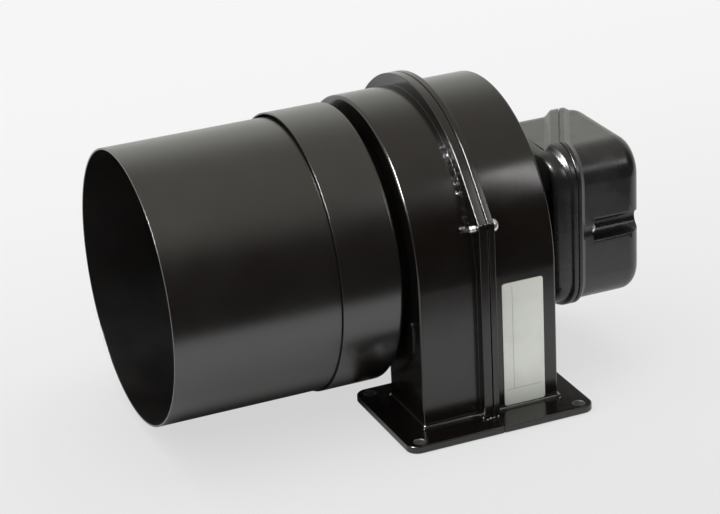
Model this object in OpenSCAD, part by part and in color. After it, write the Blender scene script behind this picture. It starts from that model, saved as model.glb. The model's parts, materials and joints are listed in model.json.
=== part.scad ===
// Combustion air fan: a long round inlet tube, a cast scroll in two halves on a
// flanged neck, a forward-curved wheel on an external-rotor motor, and a moulded
// terminal box behind.
// X runs along the fan axis from the inlet to the terminal box, and Z is up.
// The origin is the centre of the base flange, on its underside.

/* [Base flange] */
// Flange width along the fan axis
flange_w = 116; // [114:1:140]
// Flange depth across the fan axis
flange_d = 82; // [80:1:100]
// Flange thickness
flange_t = 4.5; // [3:0.5:6]
// Corner radius of the flange
flange_r = 7; // [3:0.5:9]
// Bolt holes, from the flange edges at its two ends
hole_in_x = 8; // [5.5:0.5:9]
// Bolt holes, from the flange edges at its two long sides
hole_in_y = 6; // [5.5:0.5:10]
// Diameter of the bolt holes
hole_d = 6.5; // [4.5:0.1:7]

/* [Scroll housing] */
// Fan axis, measured across from the flange centre
axis_y = 68.5; // [67:0.5:72]
// Fan axis, measured up from the flange underside
axis_h = 87.5; // [86:0.5:100]
// Outer radius of the scroll where it runs into the neck
near_r = 89.5; // [88:0.5:91]
// Radius that the scroll loses in each quarter turn
spiral_step = 4.3; // [3.8:0.1:5]
// Wall of the cast housing
wall = 2.5; // [2:0.1:3]
// Outer edge radius of the two half shells
edge_r = 4; // [3.5:0.5:7]
// Depth of the inlet-side half shell
front_depth = 40.5; // [39:0.5:48]
// Depth of the motor-side half shell
rear_depth = 44; // [42:0.5:50]
// Outer depth of the outlet neck across the fan axis
neck_d = 47; // [42:0.5:50]
// Height of the seam lip round the scroll
lip_h = 7; // [5:0.5:8]
// Height of the seam lip along the neck
neck_lip = 6; // [4.5:0.5:8]
// Thickness of the inlet-side lip
front_lip_t = 5.5; // [3:0.5:7]
// Thickness of the motor-side lip
rear_lip_t = 4; // [2.5:0.5:5]
// Radius of the lugs that carry the seam screws
lug_r = 5.5; // [5:0.1:6.5]
// Height of the near lug above the fan axis
lug_rise = 31.5; // [28:0.5:36]
// Length of the raised pad on the inlet face
pad_l = 20; // [12:1:28]
// Width of the raised pad
pad_w = 7; // [4:0.5:9]
// Height of the raised pad
pad_t = 0.8; // [0.4:0.1:1.5]
// Distance of the raised pad from the near face of the neck
pad_in = 13; // [10:0.5:30]
// Drop of the raised pad below the fan axis
pad_drop = 32; // [20:1:45]

/* [Inlet] */
// Outer diameter of the inlet tube
tube_d = 160; // [156:1:170]
// Play between the tube and its collar, all round
tube_play = 0.8; // [0.2:0.1:2]
// Sheet of the tube and the collar
sheet = 1; // [0.8:0.1:1.5]
// Free length of the tube in front of the collar
tube_free = 98; // [60:1:160]
// Length of the tube inside the collar
tube_grip = 24; // [12:1:25]
// Length of the collar
collar_l = 36.5; // [36:0.5:50]
// Bend radius at the closed end of the collar
collar_r = 7; // [5:0.5:11]
// Gap between the collar and the scroll
standoff = 5.5; // [3:0.5:10]
// Radial gap between the nozzle and the wheel
eye_gap = 2.8; // [2:0.1:8]
// Bend radius of the nozzle mouth
bell_r = 7; // [5:0.5:8]
// Nozzle sheet
nozzle_t = 1.2; // [0.8:0.1:1.5]
// Radial width of the nozzle flange
nozzle_rim = 10; // [9:0.5:12]
// Depth of the nozzle inside the wheel
nozzle_reach = 4; // [2:0.5:8]

/* [Wheel] */
// Wheel diameter
wheel_d = 120; // [116:1:126]
// Wheel width
wheel_w = 58; // [52:0.5:59]
// Number of blades
blade_n = 40; // [24:1:44]
// Radial depth of the blades
blade_d = 10; // [8:0.5:10.5]
// Curve radius of the blades
blade_r = 12; // [11:0.5:16]
// Blade sheet
blade_t = 0.8; // [0.6:0.1:1.2]
// Sheet of the wheel's back plate and front ring
plate_t = 1.2; // [0.8:0.1:2]
// Gap between the wheel and the motor-side wall
wheel_gap = 10; // [9:0.5:14]
// Number of rivets between wheel and rotor
rivet_n = 6; // [4:1:10]
// Rivet shank diameter
rivet_d = 3; // [2.5:0.1:4]

/* [Motor] */
// Rotor diameter
rotor_d = 68; // [66:0.5:72]
// Sheet of the rotor can
can_t = 2; // [1.5:0.1:2.5]
// Length of the rotor can
can_l = 45; // [44:0.5:50]
// Radial width of the rotor can's flange
can_rim = 8; // [7:0.5:10]
// Air gap between stator and rotor
air_gap = 0.4; // [0.3:0.05:0.6]
// Radial thickness of the rotor's lamination ring
rotor_core_t = 4.6; // [3.5:0.1:5.5]
// Length of the lamination stacks
stack_l = 28; // [22:0.5:28.5]
// Overhang of the winding at each end
turn_l = 5.5; // [4:0.5:5.5]
// Number of stator slots
slot_n = 12; // [8:2:16]
// Width of a stator slot
slot_w = 4.5; // [3:0.1:5]
// Depth of a stator slot
slot_d = 7; // [5:0.5:8]
// Shaft diameter
shaft_d = 8; // [7:0.1:8.4]
// Outer diameter of the ball bearings
bearing_d = 22; // [21.4:0.2:23]
// Width of the ball bearings
bearing_w = 7; // [5:0.5:8]
// Wall of the bearing tube
bearing_wall = 2.5; // [2:0.1:3]
// Thickness of the motor flange
motor_flange_t = 4; // [3:0.5:5]
// Radius of the motor flange
motor_flange_r = 42; // [40:0.5:48]
// Radius of the circle of motor screws
motor_screw_r = 34; // [31:0.5:36]
// Radius at which the motor leads pass the wall
lead_r = 23; // [22.5:0.1:23.5]
// Motor lead diameter
lead_d = 2.2; // [1.6:0.1:2.6]

/* [Terminal box] */
// Box width across the fan axis
box_w = 87; // [84:1:96]
// Box height
box_h = 96; // [90:1:104]
// Box length along the fan axis
box_l = 73; // [71:0.5:84]
// Offset of the box towards the neck side
box_shift = 15; // [12:0.5:16]
// Radius of the long edges of the box
box_r = 20; // [14:0.5:24]
// Radius of the edges of the end face
box_edge = 9; // [4:0.5:11]
// Wall of the moulded box
box_wall = 2.5; // [2:0.1:3]
// Thickness of the cover's end wall
cover_end_t = 6; // [5:0.5:8]
// Step from the cover down to the narrower base
base_step = 1.2; // [0.8:0.1:2]
// Parting line on the near face, from the scroll
part_near = 30; // [28:0.5:33]
// Parting line at the far face, from the end of the box
part_far_in = 9; // [8:0.5:14]
// Where the parting line turns, from the near face
part_kink = 20.5; // [16:0.5:26]
// Width of the bead on the base
base_bead = 5; // [3:0.5:6]
// Width of the bead on the cover
cover_bead = 3.5; // [2:0.5:5]
// Height of the base's bead above the cover
bead_h = 1.5; // [0.8:0.1:2]
// Height of the cover's bead
cover_bead_h = 1; // [0.6:0.1:1.5]
// Thickness of the gasket
gasket_t = 1; // [0.5:0.1:1.5]
// Width of the screw channels in the cover
channel_w = 12.6; // [10:0.2:14]
// Depth of the screw channels
channel_d = 10; // [9:0.5:12]
// Near screw seat, from the parting line
seat_near = 11; // [6:0.5:14]
// Far screw seat, from the parting line
seat_far = 4; // [3.5:0.5:4.5]
// Spacing across the fan axis of the screws that hold the box
box_screw_w = 56; // [50:1:58]
// Upright spacing of the screws that hold the box
box_screw_h = 74; // [73:0.5:75]

/* [Terminal box contents] */
// Length of the terminal block
block_l = 44; // [36:1:46]
// Height of the terminal block
block_h = 17; // [16:0.5:19]
// Depth of the terminal block
block_d = 14.5; // [12:0.5:18]
// Number of terminals
terminal_n = 4; // [2:1:5]
// Diameter of the run capacitor
cap_d = 26; // [20:0.5:28]
// Length of the run capacitor
cap_l = 54; // [40:1:58]
// Height of the capacitor above the fan axis
cap_rise = 20; // [16:0.5:22]
// Width of the capacitor clip
clip_w = 12; // [8:0.5:16]
// Sheet of the capacitor clip
clip_t = 1.2; // [0.8:0.1:1.6]
// Thread diameter of the cable gland
gland_d = 16; // [12:0.5:18]
// Diameter of the cable passage
cable_d = 8; // [5:0.1:9]
// Distance of the gland from the scroll
gland_x = 34; // [30:0.5:38]
// Drop of the gland below the fan axis
gland_drop = 17; // [16:0.5:18]

/* [Rating plate] */
// Plate width
plate_w = 25.7; // [18:0.1:28]
// Plate height
plate_h = 76; // [50:1:80]
// Plate thickness
label_t = 0.5; // [0.3:0.1:1]
// Plate distance from the seam
plate_x = 9.8; // [8:0.1:12]
// Plate height above the flange
plate_z = 1.5; // [1:0.5:6]

/* [Screws and fits] */
// Shank diameter of the housing screws
screw_d = 4; // [3.5:0.1:4.2]
// Head diameter of the housing screws
head_d = 7.6; // [6.5:0.1:8]
// Head height of the housing screws
head_h = 2.8; // [2:0.1:3.2]
// Shank diameter of the small screws in the terminal box
small_d = 3; // [2.5:0.1:3.2]
// Length of thread that stands out of the front lip
thread_out = 6; // [2:0.5:10]
// Radial clearance of a slip fit
slip = 0.05; // [0.02:0.01:0.1]
// Running clearance in the ball races
run_gap = 0.04; // [0.02:0.01:0.08]
// Radial clearance round a screw
screw_gap = 0.2; // [0.1:0.05:0.3]

/* [Hidden] */
$fn = 96;

// Overshoot of a cut past the face that it opens
cut = 1;

// Spacings of the bolt holes
hole_pitch_x = flange_w - 2 * hole_in_x;
hole_pitch_y = flange_d - 2 * hole_in_y;

// Neck faces, across the fan axis
neck_near = axis_y - near_r;
neck_far = neck_near + neck_d;
neck_top = axis_h - spiral_step / 2;

// Seam screws: the near lug, and two lugs on the far side
near_lug = [neck_near - neck_lip + lug_r, axis_h + lug_rise];
far_lug_angles = [25, -50];
far_lug_out = 6.5;

// Least fillet inside the cast shells
least_fillet = 0.4;

// Stations along the fan axis
collar_end = -front_depth - standoff;
collar_mouth = collar_end - collar_l;
tube_mouth = collar_mouth - tube_free;
nozzle_face = collar_end - sheet - nozzle_t;
blade_in = wheel_d / 2 - blade_d;
throat_r = blade_in - eye_gap - nozzle_t;
nozzle_gap = 0.3;
nozzle_hole_r = throat_r + bell_r + nozzle_gap;
nozzle_screw_tail = 1;
nozzle_screw_r = throat_r + bell_r + nozzle_rim / 2;
rear_wall = rear_depth - wall;
wheel_back = rear_wall - wheel_gap;
wheel_front = wheel_back - wheel_w;

// Motor stations, worked forward from the wheel's back plate
rotor_r = rotor_d / 2;
can_open = wheel_back - plate_t;
can_closed = can_open - can_l;
end_ring_l = 2;
end_ring_lip = 1;
end_gap = 0.3;
stack_rear = can_open - end_ring_l - end_gap;
stack_front = stack_rear - stack_l;
core_out = rotor_r - can_t;
stator_r = core_out - rotor_core_t - air_gap;
bearing_r = bearing_d / 2;
tube_r = bearing_r + bearing_wall;
bearing_stop = 1.5;
flange_front = rear_wall - motor_flange_t;
front_reach = 8;
rear_reach = 5;
bearing_front = can_closed + can_t + front_reach;
bearing_rear = flange_front - rear_reach - bearing_w;
shaft_tail = 2.5;
shaft_end = bearing_rear + bearing_w + shaft_tail;
shaft_r = shaft_d / 2;
hub_wall = 5;
hub_r = shaft_r + hub_wall;
inner_ring_t = 2;
outer_ring_t = 1.8;
race_in = shaft_r + inner_ring_t;
race_out = bearing_r - outer_ring_t;
ring_relief = 0.3;
shoulder_l = 2;
ball_n = 7;
circlip_t = 1;
circlip_mouth = 1.2;
groove_d = 0.5;
rivet_r = rotor_r + can_rim / 2;
rivet_head = 1.1;
rivet_head_d = 1.8 * rivet_d;

// Stator slots and the wire in them
tooth_tip = 1.5;
slot_mouth = 1.6;
wire_gap = 0.1;

// Wall hole for the leads, and the grommet in it
lead_hole_r = 5.5;
grommet_lip = 1.4;
grommet_rim = 1.8;
grommet_lip_r = lead_hole_r + grommet_rim;
lead_pitch = 3.2;

// Terminal box frame
box_y = axis_y - box_shift;
box_near = box_y - box_w / 2;
box_far = box_y + box_w / 2;
box_end = rear_depth + box_l;
part_far = box_l - part_far_in;
box_floor = rear_depth + box_wall;
base_far = box_far - base_step;
head_gap = 0.7;
cover_screw_in = channel_d - head_d / 2 - head_gap;
far_screw_y = box_far - cover_screw_in;
near_screw_y = box_near + cover_screw_in;
boss_wall = 2.8;
boss_r = screw_d / 2 + boss_wall;
boss_floor = 3;
cover_screw_grip = 14;
gasket_in = 0.3;
pilot_skin = 0.5;

// Contents of the box
cap_x = box_floor + clip_t + cap_d / 2;
cap_z = axis_h + cap_rise;
cap_step = 2;
clip_foot = 7;
block_side = 2.8;
block_y = base_far - box_wall - block_side - block_l / 2;
block_z = axis_h - lead_r;
block_face = box_floor + block_d;
lead_end = block_face - 5;
terminal_d = 2.8;
terminal_l = 4;
terminal_sink = 3;
terminal_hole_d = terminal_d + screw_gap;
terminal_seat_d = head_d * terminal_d / screw_d + screw_gap;

// Cable gland
gland_rim = 3;
gland_hex = gland_d + 2 * gland_rim;
gland_collar_l = 6;
gland_neck_l = 6;
gland_wall = 1.5;
gland_tail = 2;
gland_cap_l = 14;
gland_cap_hex_l = 8.4;
gland_nose_d = cable_d + 5;
gland_mouth_d = cable_d + 1;
cap_hex = gland_hex - 1;
cap_cone_d = gland_hex - 2;
locknut_l = 4.5;

paint = [0.06, 0.058, 0.055];
moulding = [0.08, 0.08, 0.082];
zinc = [0.75, 0.76, 0.78];

// Places its children with their z along the fan axis, x across and y up
module along_x(x = 0) {
    translate([x, 0, 0])
        rotate([90, 0, 90])
            children();
}

// The same, centred on the fan axis
module on_axis(x = 0) {
    translate([x, axis_y, axis_h])
        rotate([90, 0, 90])
            children();
}

module ring(r_out, r_in, length) {
    difference() {
        cylinder(r = r_out, h = length);
        translate([0, 0, -cut])
            cylinder(r = r_in, h = length + 2 * cut);
    }
}

// Pan-head screw: head above z = 0, shank below it
module pan_screw(length, d = screw_d) {
    rise = head_h * d / screw_d;
    r = head_d / 2 * d / screw_d;
    side = 0.6 * rise;
    crown = 0.72 * r;
    slot_floor = 0.5 * rise;
    slot = [1.2 * r, 0.24 * r];
    difference() {
        union() {
            cylinder(r = r, h = side);
            translate([0, 0, side])
                cylinder(r1 = r, r2 = crown, h = rise - side);
            translate([0, 0, -length])
                cylinder(d = d, h = length + slot_floor);
        }
        for (turn = [0, 90])
            rotate([0, 0, turn])
                translate([-slot[0] / 2, -slot[1] / 2, slot_floor])
                    cube([slot[0], slot[1], rise]);
    }
}

module rounded_square(w, h, r) {
    translate([-w / 2 + r, -h / 2])
        square([w - 2 * r, h]);
    translate([-w / 2, -h / 2 + r])
        square([w, h - 2 * r]);
    for (x = [-1, 1])
        for (y = [-1, 1])
            translate([x * (w / 2 - r), y * (h / 2 - r)])
                circle(r);
}

// Half section of a drawn cup: radius along x, depth along y, rounded at the far corner
module cup_profile(r, depth, bend) {
    square([r - bend, depth]);
    square([r, depth - bend]);
    translate([r - bend, depth - bend])
        intersection() {
            circle(bend);
            square(bend);
        }
}

// Scroll made of four quarter arcs, each on its own corner of a small square
function quarter_r(q) = near_r - spiral_step / 2 - q * spiral_step;
function quarter_c(q) = [
    axis_y + (q < 2 ? -1 : 1) * spiral_step / 2,
    axis_h + (q == 0 || q == 3 ? -1 : 1) * spiral_step / 2
];
function quarter_start(q) = 90 - 90 * q;
function on_quarter(q, angle, out) =
    quarter_c(q) + (quarter_r(q) + out) * [cos(angle), sin(angle)];

far_lugs = [
    on_quarter(1, far_lug_angles[0], far_lug_out),
    on_quarter(2, far_lug_angles[1], far_lug_out)
];
lugs = concat([near_lug], far_lugs);

// Scroll and neck as one block, from the seam at x = 0 out to the given depth
module scroll_block(depth, inset, bend, bottom) {
    for (q = [0 : 3])
        translate([0, quarter_c(q)[0], quarter_c(q)[1]])
            rotate([90, 0, 90])
                rotate([0, 0, quarter_start(q)])
                    rotate_extrude(angle = 90)
                        cup_profile(quarter_r(q) - inset, depth - inset, bend);
    on_axis()
        cylinder(r = near_r / 2, h = depth - inset);
    translate([0, 0, bottom])
        linear_extrude(neck_top - bottom)
            neck_profile(depth - inset, neck_near + inset, neck_far - inset, bend);
}

module neck_profile(depth, y0, y1, bend) {
    translate([0, y0])
        square([depth - bend, y1 - y0]);
    translate([0, y0 + bend])
        square([depth, y1 - y0 - 2 * bend]);
    for (y = [y0 + bend, y1 - bend])
        translate([depth - bend, y])
            circle(bend);
}

// Outline of the seam lip with its lugs
module lip_outline() {
    for (q = [0 : 3])
        translate(quarter_c(q))
            rotate(quarter_start(q))
                intersection() {
                    circle(quarter_r(q) + lip_h);
                    square(quarter_r(q) + lip_h);
                }
    translate([neck_near - neck_lip, 0])
        square([neck_d + 2 * neck_lip, neck_top]);
    lug_web();
    for (p = lugs)
        translate(p)
            circle(lug_r);
}

// Straight run of the lip from the scroll down to the near lug
module lug_web() {
    c = quarter_c(0);
    r = quarter_r(0) + lip_h;
    d = near_lug - c;
    turn = atan2(d[1], d[0]) - acos((r - lug_r) / norm(d));
    n = [cos(turn), sin(turn)];
    polygon([
        c,
        c + r * n,
        near_lug + lug_r * n,
        near_lug,
        [near_lug[0] - lug_r, near_lug[1]],
        [near_lug[0] - lug_r, neck_top]
    ]);
}

// Half of the base flange, on the +X side of the seam
module flange_half() {
    difference() {
        linear_extrude(flange_t)
            intersection() {
                rounded_square(flange_w, flange_d, flange_r);
                translate([0, -flange_d])
                    square([flange_w, 2 * flange_d]);
            }
        for (y = [-1, 1])
            translate([hole_pitch_x / 2, y * hole_pitch_y / 2, -cut])
                cylinder(d = hole_d, h = flange_t + 2 * cut);
    }
}

// One half of the cast housing, standing on the +X side of the seam
module half_shell(depth, lip_t, lug_hole_d) {
    difference() {
        union() {
            scroll_block(depth, 0, edge_r, 0);
            along_x()
                linear_extrude(lip_t)
                    lip_outline();
            flange_half();
        }
        translate([-cut, 0, 0])
            scroll_block(depth + cut, wall, max(edge_r - wall, least_fillet), -cut);
        for (p = lugs)
            along_x(-cut)
                translate(p)
                    cylinder(d = lug_hole_d, h = lip_t + 2 * cut);
    }
}

// Four places on a circle about the fan axis
module four_round(r) {
    for (a = [45 : 90 : 315])
        rotate([0, 0, a])
            translate([r, 0, 0])
                children();
}

// Raised oblong pad on the inlet face of the housing
module face_pad() {
    along_x(-front_depth - pad_t)
        translate([neck_near + pad_in, axis_h - pad_drop])
            linear_extrude(pad_t + wall / 2) {
                square([pad_w, pad_l - pad_w], center = true);
                for (y = [-1, 1])
                    translate([0, y * (pad_l - pad_w) / 2])
                        circle(d = pad_w);
            }
}

module front_shell() {
    color(paint)
        difference() {
            union() {
                mirror([1, 0, 0])
                    half_shell(front_depth, front_lip_t, screw_d);
                face_pad();
            }
            on_axis(-front_depth - cut)
                cylinder(r = nozzle_hole_r, h = wall + 2 * cut);
            on_axis(-front_depth - cut)
                four_round(nozzle_screw_r)
                    cylinder(d = screw_d, h = wall + 2 * cut);
        }
}

module rear_shell() {
    color(paint)
        difference() {
            half_shell(rear_depth, rear_lip_t, screw_d + 2 * screw_gap);
            on_axis(rear_wall - cut)
                four_round(motor_screw_r)
                    cylinder(d = screw_d, h = wall + 2 * cut);
            box_screw_places(rear_wall - cut)
                cylinder(d = small_d, h = wall + 2 * cut);
            on_axis(rear_wall - cut)
                translate([0, -lead_r, 0])
                    cylinder(r = lead_hole_r, h = wall + 2 * cut);
        }
}

module seam_screws() {
    color(zinc)
        for (p = lugs)
            along_x(rear_lip_t)
                translate(p)
                    pan_screw(rear_lip_t + front_lip_t + thread_out);
}

module rating_plate() {
    color([0.82, 0.83, 0.82])
        translate([plate_x, neck_near - label_t, flange_t + plate_z])
            cube([plate_w, label_t, plate_h]);
}

// The tube lies on the bottom of its collar
module inlet_tube() {
    color(paint)
        on_axis(tube_mouth)
            translate([0, slip - tube_play, 0])
                ring(tube_d / 2, tube_d / 2 - sheet, tube_free + tube_grip);
}

// Drawn cap that holds the tube, with a hole for the nozzle in its closed end
module inlet_collar() {
    r = tube_d / 2 + tube_play;
    color(paint)
        on_axis(collar_mouth)
            difference() {
                rotate_extrude()
                    cup_profile(r + sheet, collar_l, collar_r);
                translate([0, 0, -cut])
                    rotate_extrude()
                        cup_profile(r, collar_l - sheet + cut, collar_r - sheet);
                cylinder(r = nozzle_hole_r, h = collar_l + cut);
                four_round(nozzle_screw_r)
                    cylinder(d = screw_d + 2 * screw_gap, h = collar_l + cut);
            }
}

module standoff_ring() {
    color([0.1, 0.1, 0.1])
        on_axis(collar_end)
            difference() {
                ring(nozzle_hole_r + nozzle_rim, nozzle_hole_r, standoff);
                translate([0, 0, -cut])
                    four_round(nozzle_screw_r)
                        cylinder(d = screw_d + 2 * screw_gap, h = standoff + 2 * cut);
            }
}

// Bell-mouthed nozzle that leads the air into the wheel
module inlet_nozzle() {
    length = wheel_front + nozzle_reach - nozzle_face;
    color([0.62, 0.63, 0.65])
        on_axis(nozzle_face)
            difference() {
                rotate_extrude()
                    nozzle_profile(length);
                translate([0, 0, -cut])
                    four_round(nozzle_screw_r)
                        cylinder(d = screw_d + 2 * screw_gap, h = nozzle_t + 2 * cut);
            }
}

module nozzle_profile(length) {
    translate([throat_r + bell_r, 0])
        square([nozzle_rim, nozzle_t]);
    intersection() {
        translate([throat_r + bell_r, bell_r])
            difference() {
                circle(bell_r);
                circle(bell_r - nozzle_t);
            }
        translate([throat_r, 0])
            square(bell_r);
    }
    translate([throat_r, bell_r])
        square([nozzle_t, length - bell_r]);
}

module nozzle_screws() {
    color(zinc)
        on_axis(nozzle_face)
            four_round(nozzle_screw_r)
                mirror([0, 0, 1])
                    pan_screw(nozzle_t + sheet + standoff + wall + nozzle_screw_tail);
}

// Plate and bearing tube that carry the stator
module motor_flange() {
    color([0.66, 0.67, 0.69])
        difference() {
            union() {
                on_axis(flange_front)
                    cylinder(r = motor_flange_r, h = motor_flange_t);
                on_axis(bearing_front)
                    cylinder(r = tube_r, h = flange_front - bearing_front);
            }
            on_axis(bearing_front - cut)
                cylinder(r = bearing_r, h = bearing_w + cut);
            on_axis(bearing_front)
                cylinder(r = bearing_r - bearing_stop, h = flange_front - bearing_front);
            on_axis(bearing_rear)
                cylinder(r = bearing_r, h = rear_wall - bearing_rear + cut);
            on_axis(flange_front - cut)
                four_round(motor_screw_r)
                    cylinder(d = screw_d + 2 * screw_gap, h = motor_flange_t + 2 * cut);
            on_axis(flange_front - cut)
                translate([0, -lead_r, 0])
                    cylinder(r = grommet_lip_r + slip, h = motor_flange_t + 2 * cut);
        }
}

module motor_screws() {
    color(zinc)
        on_axis(flange_front)
            four_round(motor_screw_r)
                mirror([0, 0, 1])
                    pan_screw(motor_flange_t + wall);
}

module stator_slots(w) {
    for (i = [0 : slot_n - 1])
        rotate(i * 360 / slot_n)
            translate([stator_r - tooth_tip - slot_d, -w / 2])
                square([slot_d, w]);
}

module stator_core() {
    color([0.45, 0.46, 0.48])
        on_axis(stack_front)
            linear_extrude(stack_l)
                difference() {
                    circle(stator_r);
                    circle(tube_r + slip);
                    stator_slots(slot_w);
                    for (i = [0 : slot_n - 1])
                        rotate(i * 360 / slot_n)
                            translate([stator_r - tooth_tip - slot_mouth / 2, -slot_mouth / 2])
                                square([tooth_tip + slot_mouth, slot_mouth]);
                }
}

// Slot bars joined by the end turns
module stator_winding() {
    r_out = stator_r - tooth_tip;
    color([0.72, 0.42, 0.2])
        union() {
            on_axis(stack_front - turn_l)
                linear_extrude(stack_l + 2 * turn_l)
                    intersection() {
                        stator_slots(slot_w - 2 * wire_gap);
                        circle(r_out - wire_gap);
                    }
            for (x = [stack_front - turn_l, stack_rear + wire_gap])
                on_axis(x)
                    ring(r_out, r_out - slot_d + 2 * wire_gap, turn_l - wire_gap);
        }
}

// Three leads side by side, from the winding to the terminals
module motor_leads() {
    color([0.55, 0.12, 0.1])
        lead_rods(stack_rear + turn_l, lead_end);
}

module lead_rods(from, to) {
    on_axis(from)
        for (i = [-1 : 1])
            translate([i * lead_pitch, -lead_r, 0])
                cylinder(d = lead_d, h = to - from);
}

module lead_grommet() {
    color([0.07, 0.07, 0.07])
        difference() {
            on_axis(rear_wall - grommet_lip)
                translate([0, -lead_r, 0]) {
                    cylinder(r = grommet_lip_r, h = grommet_lip);
                    cylinder(r = lead_hole_r, h = grommet_lip + wall + box_wall);
                    translate([0, 0, grommet_lip + wall + box_wall])
                        cylinder(r = grommet_lip_r, h = grommet_lip);
                }
            lead_rods(flange_front, box_floor + grommet_lip + cut);
        }
}

module bearing_outer_rings() {
    color([0.7, 0.71, 0.73])
        for (x = [bearing_front, bearing_rear])
            on_axis(x)
                ring(bearing_r, race_out, bearing_w);
}

module bearing_inner_rings() {
    color([0.7, 0.71, 0.73])
        for (x = [bearing_front, bearing_rear])
            on_axis(x)
                ring(race_in, shaft_r, bearing_w);
}

module bearing_balls() {
    pitch = (race_in + race_out) / 2;
    r = (race_out - race_in) / 2 - run_gap;
    color([0.8, 0.81, 0.83])
        for (x = [bearing_front, bearing_rear])
            on_axis(x + bearing_w / 2)
                for (i = [0 : ball_n - 1])
                    rotate([0, 0, i * 360 / ball_n])
                        translate([pitch, 0, 0])
                            sphere(r);
}

// Shaft with the shoulder that bears on the front inner ring
module shaft() {
    color([0.72, 0.73, 0.75])
        difference() {
            union() {
                on_axis(can_closed)
                    cylinder(r = shaft_r, h = shaft_end - can_closed);
                on_axis(bearing_front - shoulder_l)
                    cylinder(r = race_in - ring_relief, h = shoulder_l);
            }
            on_axis(bearing_rear + bearing_w)
                ring(race_in, shaft_r - groove_d, circlip_t);
        }
}

module shaft_circlip() {
    color([0.3, 0.3, 0.32])
        on_axis(bearing_rear + bearing_w)
            difference() {
                ring(race_in - ring_relief, shaft_r - groove_d, circlip_t);
                translate([0, -circlip_mouth / 2, -cut])
                    cube([race_in + cut, circlip_mouth, circlip_t + 2 * cut]);
            }
}

// Deep-drawn rotor can with its hub and the flange for the wheel
module rotor_can() {
    color([0.5, 0.51, 0.53])
        on_axis(can_closed)
            difference() {
                union() {
                    ring(rotor_r, core_out, can_l);
                    cylinder(r = rotor_r, h = can_t);
                    cylinder(r = hub_r, h = bearing_front - shoulder_l - can_closed);
                    translate([0, 0, can_l - can_t])
                        ring(rotor_r + can_rim, core_out, can_t);
                }
                translate([0, 0, -cut])
                    cylinder(r = shaft_r, h = can_l);
                translate([0, 0, can_l - can_t - cut])
                    rivet_ring()
                        cylinder(d = rivet_d, h = can_t + 2 * cut);
            }
}

module rivet_ring() {
    for (i = [0 : rivet_n - 1])
        rotate([0, 0, i * 360 / rivet_n])
            translate([rivet_r, 0, 0])
                children();
}

module rotor_core() {
    color([0.42, 0.43, 0.45])
        on_axis(stack_front)
            ring(core_out, stator_r + air_gap, stack_l);
}

module rotor_end_rings() {
    color([0.7, 0.71, 0.72])
        for (x = [stack_front - end_ring_l, stack_rear])
            on_axis(x)
                ring(core_out, stator_r + air_gap + end_ring_lip, end_ring_l);
}

module wheel_back_plate() {
    color([0.6, 0.61, 0.63])
        on_axis(can_open)
            difference() {
                ring(wheel_d / 2, core_out, plate_t);
                translate([0, 0, -cut])
                    rivet_ring()
                        cylinder(d = rivet_d, h = plate_t + 2 * cut);
            }
}

module blade_outline() {
    intersection() {
        translate([blade_in, blade_r])
            difference() {
                circle(blade_r + blade_t / 2);
                circle(blade_r - blade_t / 2);
            }
        difference() {
            circle(wheel_d / 2);
            circle(blade_in);
        }
        translate([blade_in - cut, -blade_t])
            square([blade_d + 2 * cut, blade_r]);
    }
}

module wheel_blades() {
    color([0.6, 0.61, 0.63])
        on_axis(wheel_front + plate_t)
            for (i = [0 : blade_n - 1])
                rotate([0, 0, i * 360 / blade_n])
                    linear_extrude(wheel_w - 2 * plate_t)
                        blade_outline();
}

module wheel_front_ring() {
    color([0.6, 0.61, 0.63])
        on_axis(wheel_front)
            ring(wheel_d / 2, blade_in, plate_t);
}

module wheel_rivets() {
    color(zinc)
        on_axis(can_open - can_t - rivet_head)
            rivet_ring() {
                cylinder(d = rivet_head_d, h = rivet_head);
                cylinder(d = rivet_d, h = rivet_head + can_t + plate_t);
                translate([0, 0, rivet_head + can_t + plate_t])
                    cylinder(d = rivet_head_d, h = rivet_head);
            }
}

// Block with round long edges and a rounded end face, from the scroll outwards
module box_block(w, h, r, length, edge) {
    translate([rear_depth, box_y, axis_h])
        rotate([90, 0, 90]) {
            for (x = [-1, 1])
                for (y = [-1, 1])
                    translate([x * (w / 2 - r), y * (h / 2 - r), 0])
                        rotate_extrude()
                            cup_profile(r, length, edge);
            translate([0, h / 2 - r, 0])
                rotate([90, 0, 0])
                    linear_extrude(h - 2 * r)
                        end_profile(w, length, edge);
            translate([r - w / 2, 0, 0])
                rotate([90, 0, 90])
                    linear_extrude(w - 2 * r)
                        end_profile(h, length, edge);
        }
}

// Side view of the box: width along x, length along y, rounded at the end
module end_profile(w, length, edge) {
    translate([edge - w / 2, 0])
        square([w - 2 * edge, length]);
    translate([-w / 2, 0])
        square([w, length - edge]);
    for (x = [-1, 1])
        translate([x * (w / 2 - edge), length - edge])
            circle(edge);
}

// Everything between two copies of the parting line, shifted along the fan axis
module parting_zone(from, to) {
    reach = 30;
    kink = box_near + part_kink;
    lean = (part_far - part_near) / (box_far - kink);
    line = [
        [rear_depth + part_near, box_near - reach],
        [rear_depth + part_near, kink],
        [rear_depth + part_far + lean * reach, box_far + reach]
    ];
    back = [for (i = [2 : -1 : 0]) line[i] + [to, 0]];
    linear_extrude(axis_h + box_h)
        polygon(concat([for (p = line) p + [from, 0]], back));
}

module box_outer(grow) {
    box_block(box_w + 2 * grow, box_h + 2 * grow, box_r + grow, box_l + grow, box_edge);
}

// Straight hollow with round long edges
module box_hollow(from, to, inset) {
    translate([from, box_y, axis_h])
        rotate([90, 0, 90])
            linear_extrude(to - from)
                rounded_square(box_w - 2 * inset, box_h - 2 * inset, box_r - inset);
}

module box_cavity() {
    box_hollow(box_floor, box_end, base_step + box_wall);
}

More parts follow.
